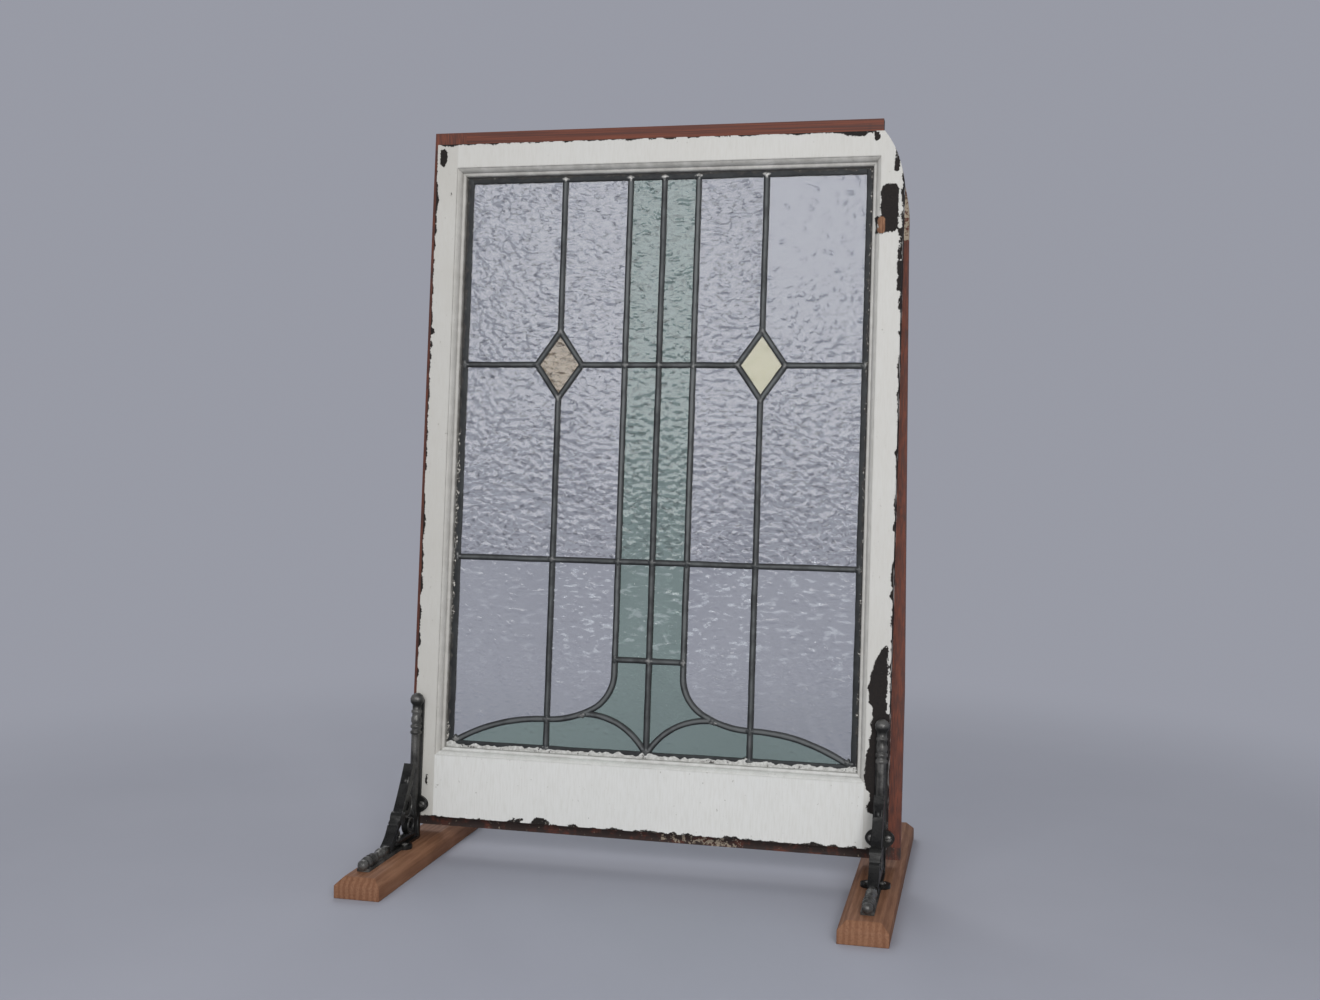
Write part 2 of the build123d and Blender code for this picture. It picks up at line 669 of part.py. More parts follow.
timber_sash()
putty()
border_cames()
upright_cames()
curved_cames()
crossbars()
glass_panes()
feet()
brackets()
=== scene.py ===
"""Looks of a leaded casement sash that stands on two wooden feet with iron brackets.

Details of the sash are drawn flat in panel millimetres: u to the right and v up from
the foot of the centre lead, and off out of the glass towards the viewer. PANEL turns
them into the leaning place of the real sash.
"""
import bmesh
import bpy
import math
import random
from mathutils import Matrix, Vector, noise

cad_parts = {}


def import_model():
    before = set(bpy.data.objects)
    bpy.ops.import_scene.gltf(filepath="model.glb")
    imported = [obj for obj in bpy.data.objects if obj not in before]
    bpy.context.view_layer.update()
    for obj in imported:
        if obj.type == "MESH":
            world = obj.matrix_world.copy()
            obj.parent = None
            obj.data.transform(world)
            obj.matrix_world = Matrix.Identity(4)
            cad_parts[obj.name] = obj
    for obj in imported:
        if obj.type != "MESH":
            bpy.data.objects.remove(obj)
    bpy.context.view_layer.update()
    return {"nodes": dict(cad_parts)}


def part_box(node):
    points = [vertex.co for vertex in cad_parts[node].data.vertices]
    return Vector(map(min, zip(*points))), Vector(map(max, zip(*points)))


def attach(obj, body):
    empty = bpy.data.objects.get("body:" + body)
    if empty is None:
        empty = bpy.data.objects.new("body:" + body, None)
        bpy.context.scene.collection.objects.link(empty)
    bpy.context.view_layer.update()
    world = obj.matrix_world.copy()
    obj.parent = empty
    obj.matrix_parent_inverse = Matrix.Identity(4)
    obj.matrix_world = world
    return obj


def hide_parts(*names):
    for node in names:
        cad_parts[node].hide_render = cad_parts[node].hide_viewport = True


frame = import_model()
NODES = frame["nodes"]
random.seed(7)

# Units and stance
MM = 0.001
LEAN = math.radians(5.0)
GRID_H = 775.0

# Camera as fitted to the photograph: lens in pixels, angles in degrees, place in metres
IMAGE_W = 1320
FOCAL_PX = 1474.6
CAMERA_YAW = -13.04
CAMERA_PITCH = -2.60
CAMERA_ROLL = 0.78
CAMERA_AT = (0.4515, -1.8956, 0.5793)
SENSOR_MM = 36.0

# Leads
CAME_HALF = 4.0
CAME_RIM = 2.3
CAME_CROWN = 3.3
CAME_CHANNEL = 1.8
CROWN_STEPS = 12
HEART_HALF = 0.8
BORDER_HALF = 7.0
BORDER_LINE = 3.0
BORDER_U = 278.0
INNER_EDGE_U = BORDER_U - BORDER_LINE - CAME_HALF
GRID_HALF_W = 275.0
INNER_LINE = 47.0
SHOULDER_V = 39.5
ROOT_CREST = Vector((84.0, 49.5))
DIAMOND_W = 32.0
DIAMOND_H = 45.5
FLARE_STRAIGHT = 18.0
FLARE_SPLIT = 60.0
CAME_STEP = 5.0
ARC_STEP = 4.0
CAME_SHAKE = 0.22

# Solder
SOLDER_REACH = 7.5
SOLDER_RISE = 0.9
SOLDER_FLOOR = 1.6
SOLDER_RINGS = 6
SOLDER_SPOKES = 28
ROOT_ON_FLARE = (90.0, 47.5)
WAVE_ON_BORDER = (268.0, 5.0)

# Putty and dirt at the edge of the leads
STRIP_STEP = 1.6
PUTTY_LUMPS = [-274.0, -139.0, 0.0, 139.0, 274.0]

# Glass: painted glint dashes of the lower panes by column from the left, and where they and the ripples
# fade out
RIPPLE_CELL = 1.9
GLINT_COLOUR = (0.74, 0.78, 0.82)
DASH_SHARE = {"A": 0.10, "B": 0.26, "C": 0.16, "D": 0.26, "E": 0.20}
DASH_LOW_V = 55.0
DASH_FADE = 90.0
SMOOTH_V = 675.0
SMOOTH_FADE = 150.0

# Timber
TIMBER_CELL = 3.0
SIGHT_U = 280.0
SIGHT_DROP = 5.0
MOULDING_W = 10.0
LIP_FRONT = -10.0
LIP_BACK = -24.0
FACE_FRONT = 20.0
FACE_HALF_W = 320.0
FACE_TOP = 823.0
FACE_BOTTOM = -98.0
CHIP_SOFT = 6.0
WORN_LEFT_V = (130.0, 330.0)
FLAKED_FOOT_U = (20.0, 130.0)
FLAKED_RIGHT_V = (686.0, 800.0)

# Bare or black places on the face as (u, v, half width, half height, corner)
CHIPS = [
    (303.0, 722.5, 11.5, 31.5, 9.0),
    (286.5, 700.0, 2.0, 11.0, 2.0),
    (311.0, 786.0, 2.8, 16.0, 2.8),
    (317.0, 633.0, 3.0, 20.0, 3.0),
    (317.5, 675.0, 2.0, 20.0, 2.0),
    (284.0, 817.0, 3.5, 6.0, 3.0),
    (258.0, 822.5, 15.0, 5.0, 4.5),
    (-311.0, 804.5, 5.0, 11.5, 4.5),
    (-319.0, 746.0, 3.2, 7.0, 3.0),
    (-318.0, 563.0, 3.0, 4.0, 2.5),
    (-319.0, 546.0, 2.0, 5.0, 2.0),
    (-297.7, 753.5, 0.8, 3.5, 0.8),
    (-137.0, -97.5, 12.5, 7.0, 6.8),
    (-169.0, -93.8, 8.0, 1.2, 1.0),
    (-301.0, -48.5, 1.6, 8.0, 1.4),
    (-71.3, -85.2, 0.9, 0.9, 0.9),
]

# Where the tenon of the top rail is worn flush with the upper right corner, as (v, u)
WORN_TENON = [(785.0, 309.5), (791.0, 307.5), (800.0, 303.5), (809.0, 299.5), (818.0, 294.0)]

# How far the paint of each timber has yellowed and is darkened; the darkening by timber is painted shade,
# most on the left stile and least on the bottom rail
AGED_AND_SHADED = {"left_stile": 0.75, "right_stile": 0.55, "top_rail": 0.5, "bottom_rail": 0.05}

# Left edge of the large black patch on the right stile, as (v, u), and its other limits
PATCH_EDGE = [
    (160.0, 314.0), (152.0, 306.0), (137.0, 299.0), (122.0, 294.5), (106.0, 292.0), (86.0, 294.5),
    (81.0, 299.0), (52.0, 297.0), (30.0, 295.4), (25.0, 292.0), (-11.0, 290.5), (-20.0, 292.0),
    (-27.0, 298.0), (-36.0, 297.0), (-44.0, 294.3), (-51.0, 295.5), (-54.0, 303.0), (-57.0, 320.0),
]
PATCH_RIGHT_U = 316.0
PATCH_OPEN_V = 74.0

# Bare pale timber, splintered below the mark of the hinge, as (u, v, half width, half height, corner)
SPLINTER = (292.5, 700.0, 5.0, 11.0, 4.0)

# Brackets, in millimetres: p out from the sash, h up from the foot
BRACKET_X = {"left": -315.0, "right": 312.0}
FACE_Y_AT_FOOT = -39.11
FOOT_TOP = 26.0
POST_BEADS = [(143.0, 3.0), (151.0, 3.0), (160.0, 5.0), (171.0, 2.5), (196.0, 9.0)]
REACH_BEADS = [(113.0, 4.0), (136.0, 2.5), (144.0, 3.0), (153.0, 3.5), (168.0, 6.0)]
SCROLLS = [(23.0, 23.0, 11.5), (25.0, 82.0, 10.5), (34.0, 52.0, 16.5), (66.0, 19.0, 8.5)]
SCROLL_HALF_T = 4.0
SCROLL_BEAD_R = 1.1
EAR_T = 5.0
SASH_EAR_H = 46.0
SASH_SCREW = 10.8
FOOT_EAR_P = 53.0
FOOT_SCREW = 8.5
SCREW_R = 4.2
SCREW_SLOT = 0.55
SCREW_SIDES = 12
RING_SIDES = 28
TUBE_SIDES = 8

# Studio, in metres and watts; a lamp is its place, the height it aims at, its size and its power
BACKDROP = (0.315, 0.325, 0.375)
FLOOR_FADE = (0.75, 1.7)
AMBIENT = 0.33
LAMPS = {
    "glass_light": ((-0.65, -2.9, 1.70), 0.4, (1.7, 1.5), 29),
    "low_light": ((0.9, -2.6, 0.5), 0.2, (1.0, 0.8), 11),
    "key": ((1.3, -2.9, 1.6), 0.2, (1.0, 1.0), 40),
    "back": ((-1.0, 2.4, 2.4), 0.5, (1.6, 1.6), 26),
}


def panel_frame():
    """Turns panel millimetres into world metres, from where the centre lead lies."""
    low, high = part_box("centre_came")
    along = Vector((0, math.sin(LEAN), math.cos(LEAN)))
    out = Vector((0, -math.cos(LEAN), math.sin(LEAN)))
    origin = (low + high) / 2 - along * GRID_H / 2 * MM
    return Matrix((
        (MM, 0, 0, origin.x),
        (0, along.y * MM, out.y * MM, origin.y),
        (0, along.z * MM, out.z * MM, origin.z),
        (0, 0, 0, 1),
    ))


PANEL = panel_frame()
TO_PANEL = PANEL.inverted()
FROM_WORLD_MM = Matrix.Scale(MM, 4)
TO_WORLD_MM = FROM_WORLD_MM.inverted()


def line_of(node, axis):
    """Middle of a straight node along one panel axis: 0 across, 1 up."""
    places = [(TO_PANEL @ v.co)[axis] for v in NODES[node].data.vertices]
    return (min(places) + max(places)) / 2


OUTER_U = line_of("outer_came_right", 0)
UPPER_V = line_of("crossbars_upper", 1)
MIDDLE_V = line_of("crossbars_middle", 1)
LOWER_V = line_of("crossbars_lower", 1)


# Small builders

def clamp(value, low=0.0, high=1.0):
    return max(low, min(high, value))


def add_object(name, data):
    made = bpy.data.objects.new(name, data)
    bpy.context.scene.collection.objects.link(made)
    return made


def layer_of(bm, name):
    """A number on every vertex, which a material reads by its name."""
    layers = bm.verts.layers.float
    return layers.get(name) or layers.new(name)


def new_piece(name, bm, materials, node=None, matrix=PANEL, sharp=40.0):
    """Turn a bmesh into a piece that rides on the part, in place of a node if one is named."""
    bm.normal_update()
    mesh = bpy.data.meshes.new(name)
    bm.to_mesh(mesh)
    bm.free()
    mesh.transform(matrix)
    for material in materials:
        mesh.materials.append(material)
    mesh.polygons.foreach_set("use_smooth", [True] * len(mesh.polygons))
    mesh.set_sharp_from_angle(angle=math.radians(sharp))
    piece = add_object(name, mesh)
    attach(piece, "root")
    if node:
        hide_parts(node)


def cad_copy(node, matrix=TO_PANEL):
    """A node's mesh in panel millimetres, with its flat faces whole again."""
    bm = bmesh.new()
    bm.from_mesh(NODES[node].data)
    bm.transform(matrix)
    bmesh.ops.remove_doubles(bm, verts=bm.verts, dist=0.002)
    bmesh.ops.dissolve_limit(bm, angle_limit=math.radians(0.5), verts=bm.verts, edges=bm.edges)
    return bm


def slice_along(bm, axis, step, geometry=None):
    """Cut a mesh, or some of its geometry, by evenly spaced planes across one axis."""
    geometry = geometry or bm.verts[:] + bm.edges[:] + bm.faces[:]
    low = min(v.co[axis] for v in bm.verts)
    high = max(v.co[axis] for v in bm.verts)
    count = max(1, round((high - low) / step))
    normal = Vector([float(i == axis) for i in range(3)])
    for i in range(1, count):
        place = normal * (low + (high - low) * i / count)
        cut = bmesh.ops.bisect_plane(bm, geom=geometry, dist=1e-5, plane_co=place, plane_no=normal)
        geometry = cut["geom"]
    return geometry


def loft(bm, rings, closed=False):
    """Join rings of vertices into a tube, capped unless it closes on itself."""
    pairs = list(zip(rings, rings[1:]))
    if closed:
        pairs.append((rings[-1], rings[0]))
    size = len(rings[0])
    for first, second in pairs:
        for k in range(size):
            after = (k + 1) % size
            bm.faces.new((first[k], first[after], second[after], second[k]))
    if not closed:
        bm.faces.new(reversed(rings[0]))
        bm.faces.new(rings[-1])


def turbulence(point, scale, octaves=3, seed=0.0):
    """Smooth seeded noise, about -1 to 1, at a panel point, with features scale mm wide."""
    shifted = Vector(point) / scale + Vector((seed * 17.3, seed * 5.1, seed * 9.7))
    return noise.fractal(shifted, 0.8, 2.0, octaves, noise_basis="PERLIN_ORIGINAL") * 1.4


# Material builders

def add_node(tree, kind, inputs=None, **settings):
    """Add a shader node, set its fields, and set or link its inputs by name or number."""
    made = tree.nodes.new(kind)
    for field, value in settings.items():
        setattr(made, field, value)
    for key, value in (inputs or {}).items():
        if isinstance(value, bpy.types.NodeSocket):
            tree.links.new(value, made.inputs[key])
        else:
            made.inputs[key].default_value = value
    return made


def blank_material(name):
    material = bpy.data.materials.new(name)
    material.use_nodes = True
    material.node_tree.nodes.clear()
    return material, material.node_tree


def close_material(material, shader):
    """Give a material its finished shader and hand it back."""
    add_node(material.node_tree, "ShaderNodeOutputMaterial", {"Surface": shader})
    return material


def principled(tree, colour, roughness, relief, **others):
    """Principled shader; others are further inputs, with the spaces of their names as underscores."""
    inputs = {"Base Color": colour, "Roughness": roughness, "Normal": relief}
    inputs.update({name.replace("_", " "): value for name, value in others.items()})
    return add_node(tree, "ShaderNodeBsdfPrincipled", inputs).outputs[0]


def mix_shaders(tree, amount, first, second):
    return add_node(tree, "ShaderNodeMixShader", {0: amount, 1: first, 2: second}).outputs[0]


def coordinates(tree, scale=(1, 1, 1), turn=(0, 0, 0)):
    """Object coordinates in metres, stretched by scale."""
    source = add_node(tree, "ShaderNodeTexCoord").outputs["Object"]
    mapping = add_node(tree, "ShaderNodeMapping", {"Vector": source, "Scale": scale, "Rotation": turn})
    return mapping.outputs["Vector"]


def noise_value(tree, vector, scale, detail=4.0, roughness=0.55, distortion=0.0):
    made = add_node(tree, "ShaderNodeTexNoise", {
        "Vector": vector, "Scale": scale, "Detail": detail,
        "Roughness": roughness, "Distortion": distortion,
    })
    return made.outputs["Fac"]


def ramp(tree, value, low, high, out_low=0.0, out_high=1.0):
    """Smooth step of a value between two levels."""
    made = add_node(tree, "ShaderNodeMapRange", {
        "Value": value, "From Min": low, "From Max": high,
        "To Min": out_low, "To Max": out_high,
    }, interpolation_type="SMOOTHSTEP")
    return made.outputs["Result"]


def maths(tree, operation, first, second):
    made = add_node(tree, "ShaderNodeMath", {0: first, 1: second}, operation=operation)
    return made.outputs[0]


def blend(tree, amount, first, second):
    """Mix two colours; colours are (r, g, b) or sockets."""
    made = add_node(tree, "ShaderNodeMix", {"Factor": amount}, data_type="RGBA")
    for name, value in (("A", first), ("B", second)):
        socket = [s for s in made.inputs if s.name == name and s.type == "RGBA"][0]
        if isinstance(value, bpy.types.NodeSocket):
            tree.links.new(value, socket)
        else:
            socket.default_value = (*value, 1.0)
    return [s for s in made.outputs if s.type == "RGBA"][0]


def attribute(tree, name):
    return add_node(tree, "ShaderNodeAttribute", attribute_name=name).outputs["Fac"]


def bump(tree, height, distance, strength=1.0, normal=None):
    inputs = {"Height": height, "Distance": distance, "Strength": strength}
    if normal is not None:
        inputs["Normal"] = normal
    return add_node(tree, "ShaderNodeBump", inputs).outputs["Normal"]


# Materials

def paint_material():
    """Old off-white gloss paint, brushed and dirty, flaked off to dark timber, and darkened by painted
    shade in the moulding and over whole timbers.
    """
    material, tree = blank_material("old_white_paint")
    across = coordinates(tree)
    fine = noise_value(tree, across, 900.0, 5.0)
    chip_noise = noise_value(tree, across, 420.0, 5.0, 0.65)
    ragged = maths(tree, "ADD", attribute(tree, "bare"), ramp(tree, chip_noise, 0.3, 0.7, -0.17, 0.17))
    bare = ramp(tree, ragged, -0.04, 0.04)
    cloud = noise_value(tree, across, 9.0, 4.0)
    brush = noise_value(tree, coordinates(tree, (60, 60, 4)), 8.0, 3.0)
    paint = blend(tree, cloud, (0.62, 0.625, 0.61), (0.70, 0.70, 0.68))
    paint = blend(tree, ramp(tree, brush, 0.35, 0.75, 0.0, 0.35), paint, (0.53, 0.52, 0.48))
    # Yellowed paint and painted shade: whole timbers are darker, the left stile most, the bottom rail
    # least.
    yellowed_and_shaded = maths(tree, "MULTIPLY", attribute(tree, "aged_and_shaded"), ramp(tree, cloud, 0.25, 0.75, 0.75, 1.0))
    paint = blend(tree, yellowed_and_shaded, paint, (0.435, 0.415, 0.375))
    specks = ramp(tree, noise_value(tree, across, 260.0, 2.0), 0.70, 0.76)
    paint = blend(tree, maths(tree, "MULTIPLY", specks, 0.55), paint, (0.22, 0.20, 0.17))
    uneven = ramp(tree, noise_value(tree, across, 70.0, 5.0), 0.25, 0.7, 0.35, 1.0)
    # Dirt and painted shade in the moulding: darker in its hollows and on the downward-facing top.
    dirty_and_shaded = maths(tree, "MULTIPLY", attribute(tree, "grime_and_shade"), uneven)
    paint = blend(tree, dirty_and_shaded, paint, (0.13, 0.12, 0.10))
    wood = blend(tree, ramp(tree, fine, 0.35, 0.7), (0.006, 0.005, 0.005), (0.020, 0.014, 0.011))
    flecks = ramp(tree, maths(tree, "ADD", chip_noise, attribute(tree, "flecked")), 0.70, 0.73)
    wood = blend(tree, maths(tree, "MULTIPLY", flecks, 0.7), wood, (0.34, 0.31, 0.27))
    grain = noise_value(tree, coordinates(tree, (14, 14, 1)), 60.0, 4.0)
    splinter = blend(tree, ramp(tree, grain, 0.3, 0.7), (0.30, 0.16, 0.09), (0.13, 0.055, 0.03))
    pale = maths(tree, "ADD", attribute(tree, "splinter"), maths(tree, "MULTIPLY", fine, 0.3))
    wood = blend(tree, ramp(tree, pale, 0.1, 0.2), wood, splinter)
    colour = blend(tree, bare, paint, wood)
    rough = ramp(tree, bare, 0.0, 1.0, 0.42, 0.8)
    relief = bump(tree, maths(tree, "MULTIPLY", bare, -1.0), 0.0006, 0.8)
    relief = bump(tree, brush, 0.0003, 0.25, relief)
    relief = bump(tree, fine, 0.00015, 0.25, relief)
    return close_material(material, principled(tree, colour, rough, relief, Specular_IOR_Level=0.3))


def lip_material():
    """Red-brown primed timber with dark streaks, black patches that on the bottom lip are partly painted
    shade, and a few flakes of paint.
    """
    material, tree = blank_material("red_brown_timber")
    across = coordinates(tree)
    grain = noise_value(tree, coordinates(tree, (1, 90, 90)), 6.0, 5.0, 0.6)
    grain_up = noise_value(tree, coordinates(tree, (90, 90, 1)), 6.0, 5.0, 0.6)
    upright = attribute(tree, "upright")
    level = maths(tree, "SUBTRACT", 1.0, upright)
    grain = maths(tree, "MULTIPLY", level, grain)
    streak = maths(tree, "ADD", maths(tree, "MULTIPLY", upright, grain_up), grain)
    red = blend(tree, ramp(tree, streak, 0.35, 0.7), (0.070, 0.017, 0.009), (0.185, 0.052, 0.028))
    patch = noise_value(tree, across, 60.0, 5.0, 0.6)
    # Black old paint, and painted shade on the bottom lip under the face.
    blackened_and_shade = ramp(tree, maths(tree, "ADD", attribute(tree, "blackened_and_shade"), patch), 0.62, 0.85)
    colour = blend(tree, blackened_and_shade, red, (0.028, 0.014, 0.010))
    flake_noise = noise_value(tree, across, 210.0, 4.0, 0.65)
    flakes = ramp(tree, maths(tree, "ADD", attribute(tree, "flaky"), flake_noise), 0.98, 1.02)
    colour = blend(tree, flakes, colour, (0.38, 0.31, 0.23))
    relief = bump(tree, flakes, 0.0006, 0.8)
    relief = bump(tree, streak, 0.0005, 0.5, relief)
    rough = ramp(tree, streak, 0.2, 0.8, 0.55, 0.8)
    return close_material(material, principled(tree, colour, rough, relief))


def lead_material():
    """Dull oxidised lead, greenish black, with a paler line along the crowns that is wear and painted
    highlight.
    """
    material, tree = blank_material("oxidised_lead")
    across = coordinates(tree)
    cloud = noise_value(tree, across, 45.0, 5.0, 0.6)
    fine = noise_value(tree, across, 700.0, 4.0, 0.6)
    base = blend(tree, ramp(tree, cloud, 0.3, 0.7), (0.008, 0.009, 0.010), (0.022, 0.025, 0.026))
    # Paler crown line: wear and painted highlight.
    worn_and_highlight = maths(tree, "MULTIPLY", attribute(tree, "crown"), ramp(tree, cloud, 0.3, 0.65, 0.35, 1.0))
    colour = blend(tree, worn_and_highlight, base, (0.105, 0.112, 0.112))
    rough = ramp(tree, fine, 0.25, 0.75, 0.42, 0.65)
    relief = bump(tree, fine, 0.0002, 0.5, bump(tree, cloud, 0.0006, 0.4))
    return close_material(material, principled(tree, colour, rough, relief, Metallic=0.4))


def solder_material():
    """Tin-lead solder, brighter and smoother than the lead."""
    material, tree = blank_material("solder")
    across = coordinates(tree)
    cloud = noise_value(tree, across, 160.0, 5.0, 0.6)
    fine = noise_value(tree, across, 900.0, 3.0)
    bright = maths(tree, "MULTIPLY", attribute(tree, "bright"), ramp(tree, cloud, 0.36, 0.6))
    colour = blend(tree, bright, (0.035, 0.039, 0.040), (0.42, 0.41, 0.39))
    rough = ramp(tree, cloud, 0.3, 0.7, 0.5, 0.34)
    relief = bump(tree, fine, 0.0003, 0.5)
    return close_material(material, principled(tree, colour, rough, relief, Metallic=0.45))


def glass_material(name, tint, shaded_tint, haze, roughness=0.04):
    """Rolled glass: tinted, see-through, with painted shade where a ripple tips down, dark painted
    streaks, and painted glints as white dashes.
    """
    material, tree = blank_material(name)
    fine = noise_value(tree, coordinates(tree), 190.0, 3.0, 0.55, 0.5)
    # Painted shade: dark streaks where the ripples would reflect the darker room.
    shade_strokes = noise_value(tree, coordinates(tree, (1, 1, 2.1), (0, 0.35, 0)), 120.0, 3.0, 0.6, 0.8)
    shade_strokes = ramp(tree, shade_strokes, 0.50, 0.68, 0.0, 0.85)
    deep_shade = tuple(0.55 * part for part in shaded_tint)
    # Painted shade: darker where a ripple tips down and would reflect the darker room.
    colour = blend(tree, attribute(tree, "ripple_shade"), shaded_tint, tint)
    colour = blend(tree, maths(tree, "MULTIPLY", shade_strokes, attribute(tree, "shade_speckled")), colour, deep_shade)
    # Painted highlight: white diffuse dashes stand in for glints on the ripples.
    glint_dashes = noise_value(tree, coordinates(tree, (1, 1, 2.7), (0, 0.12, 0)), 72.0, 2.0, 0.5)
    glint_dashes = maths(tree, "MULTIPLY", ramp(tree, glint_dashes, 0.575, 0.66), attribute(tree, "dashed"))
    relief = bump(tree, fine, 0.00026, 1.0)
    clear = 1.0 - haze
    glass = principled(tree, colour, roughness, relief, IOR=1.5, Transmission_Weight=clear)
    rays = add_node(tree, "ShaderNodeLightPath").outputs["Is Shadow Ray"]
    through = add_node(tree, "ShaderNodeBsdfTransparent", {"Color": (*tint, 1.0)}).outputs[0]
    glint = add_node(tree, "ShaderNodeBsdfDiffuse", {"Color": (*GLINT_COLOUR, 1.0)}).outputs[0]
    glass = mix_shaders(tree, rays, glass, through)
    return close_material(material, mix_shaders(tree, glint_dashes, glass, glint))


def crumbly_material(name, lump_scale, colours, dryness, speck_noise, speck_level, speck_colour):
    """Lumpy putty or dirt with specks of another colour, more of them where flecked is high."""
    material, tree = blank_material(name)
    across = coordinates(tree)
    lumps = noise_value(tree, across, lump_scale, 5.0, 0.65)
    specks = maths(tree, "ADD", noise_value(tree, across, *speck_noise, 0.7), attribute(tree, "flecked"))
    colour = blend(tree, ramp(tree, lumps, 0.3, 0.7), *colours)
    colour = blend(tree, ramp(tree, specks, *speck_level), colour, speck_colour)
    rough = ramp(tree, lumps, 0.2, 0.8, *dryness)
    return close_material(material, principled(tree, colour, rough, bump(tree, lumps, 0.0008, 0.8)))


def putty_material():
    """Cracked putty under thick white paint, with black dirt in its hollows."""
    colours = (0.36, 0.355, 0.335), (0.60, 0.60, 0.58)
    dirt = (0.05, 0.045, 0.04)
    return crumbly_material("painted_putty", 230.0, colours, (0.5, 0.75), (120.0, 5.0), (0.56, 0.66), dirt)


def grime_material():
    """Black dirt and old mastic beside the leads, with crumbs of white paint."""
    colours = (0.012, 0.012, 0.012), (0.050, 0.045, 0.040)
    crumbs = (0.48, 0.46, 0.42)
    return crumbly_material("black_grime", 260.0, colours, (0.6, 0.85), (330.0, 4.0), (0.70, 0.74), crumbs)


def foot_material():
    """Stained softwood with long grain and end rings."""
    material, tree = blank_material("stained_foot_wood")
    rings = add_node(tree, "ShaderNodeTexWave", {
        "Vector": coordinates(tree, (1, 0.04, 0.55)), "Scale": 42.0, "Distortion": 3.5,
        "Detail": 3.0, "Detail Scale": 1.2,
    }, wave_type="RINGS", rings_direction="Y").outputs["Fac"]
    fibre = noise_value(tree, coordinates(tree, (1, 0.06, 1)), 420.0, 4.0, 0.6)
    colour = blend(tree, ramp(tree, rings, 0.15, 0.95), (0.25, 0.122, 0.068), (0.195, 0.088, 0.047))
    colour = blend(tree, ramp(tree, fibre, 0.35, 0.75, 0.0, 0.5), colour, (0.105, 0.043, 0.022))
    cloud = noise_value(tree, coordinates(tree), 14.0, 3.0)
    colour = blend(tree, ramp(tree, cloud, 0.4, 0.7, 0.0, 0.35), colour, (0.30, 0.155, 0.085))
    rough = ramp(tree, fibre, 0.2, 0.8, 0.6, 0.75)
    relief = bump(tree, fibre, 0.0003, 0.4, bump(tree, rings, 0.0003, 0.25))
    return close_material(material, principled(tree, colour, rough, relief, Specular_IOR_Level=0.25))


def iron_material():
    """Black painted cast iron, rubbed to metal on the high spots, with painted highlights on the beads,
    knobs, scroll rings and screws.
    """
    material, tree = blank_material("black_iron")
    across = coordinates(tree)
    cast = noise_value(tree, across, 380.0, 5.0, 0.65)
    cloud = noise_value(tree, across, 60.0, 4.0)
    # Pale metal colour on beads, knobs, rings and screws: wear and painted highlight.
    rubbed_and_highlight = maths(tree, "MULTIPLY", attribute(tree, "rubbed_and_highlight"), ramp(tree, cloud, 0.35, 0.6, 0.3, 1.0))
    colour = blend(tree, cloud, (0.004, 0.004, 0.004), (0.010, 0.010, 0.009))
    colour = blend(tree, rubbed_and_highlight, colour, (0.20, 0.195, 0.185))
    rough = ramp(tree, cast, 0.25, 0.75, 0.24, 0.40)
    relief = bump(tree, cast, 0.0005, 0.55)
    iron = principled(tree, colour, rough, relief, Metallic=0.35, Specular_IOR_Level=0.3)
    return close_material(material, iron)


PAINT = paint_material()
LIP = lip_material()
LEAD = lead_material()
SOLDER = solder_material()
CLEAR = glass_material("clear_rolled_glass", (0.82, 0.83, 0.85), (0.50, 0.52, 0.57), 0.05)
GREEN = glass_material("sea_green_glass", (0.52, 0.635, 0.575), (0.34, 0.44, 0.39), 0.05)
ROSE = glass_material("streaky_tan_glass", (0.66, 0.56, 0.42), (0.22, 0.165, 0.10), 0.14, 0.12)
CREAM = glass_material("cream_glass", (0.80, 0.77, 0.57), (0.64, 0.61, 0.42), 0.20, 0.08)
PUTTY = putty_material()
GRIME = grime_material()
FOOT = foot_material()
IRON = iron_material()


# Glass

def ripple_height(u, v, dense):
    """Relief of rolled glass in millimetres: short uneven ripples, sparse where dense is low."""
    drift = turbulence((u, v, 0), 60.0, 2, 1.0) * 9.0
    across = u * 0.72 + v * 0.42 + drift
    worm = turbulence((across, v * 1.3 - u * 0.12, 0), 6.5, 2, 2.0)
    dimple = turbulence((u, v * 1.3, 40), 11.0, 2, 3.0)
    calm = 0.40 - 0.45 * dense
    return 0.62 * max(0.0, worm - calm) + 0.15 * dimple * dense


PANES = {
    "glass_top_left": CLEAR, "glass_top_right": CLEAR, "glass_top_middle": GREEN,
    "glass_centre_left": CLEAR, "glass_centre_right": CLEAR, "glass_centre_middle": GREEN,
    "glass_lower_left": CLEAR, "glass_lower_right": CLEAR, "glass_lower_middle": GREEN,
    "glass_flare": GREEN, "glass_base_left": GREEN, "glass_base_right": GREEN,
    "glass_diamond_left": ROSE, "glass_diamond_right": CREAM,
}


def density(node, u, v):
    """How thickly a place is rippled, from 0 for smooth glass to 1."""
    if node in ("glass_flare", "glass_base_left", "glass_base_right"):
        return 0.12
    if node == "glass_diamond_right":
        return 0.1
    if node == "glass_top_right" and abs(u) > OUTER_U:
        return clamp((SMOOTH_V - v) / SMOOTH_FADE, 0.05, 0.75)
    if node.startswith("glass_lower"):
        return 0.2
    return 1.0


def dash_level(node, u, v):
    """How strong the painted glints of the short dashes in the lower panes are at a place."""
    if not node.startswith("glass_lower"):
        return 0.0
    columns = "AB" if u < 0 else "ED"
    column = "C" if abs(u) < INNER_LINE else columns[abs(u) < OUTER_U]
    return DASH_SHARE[column] * clamp((v - DASH_LOW_V) / DASH_FADE)


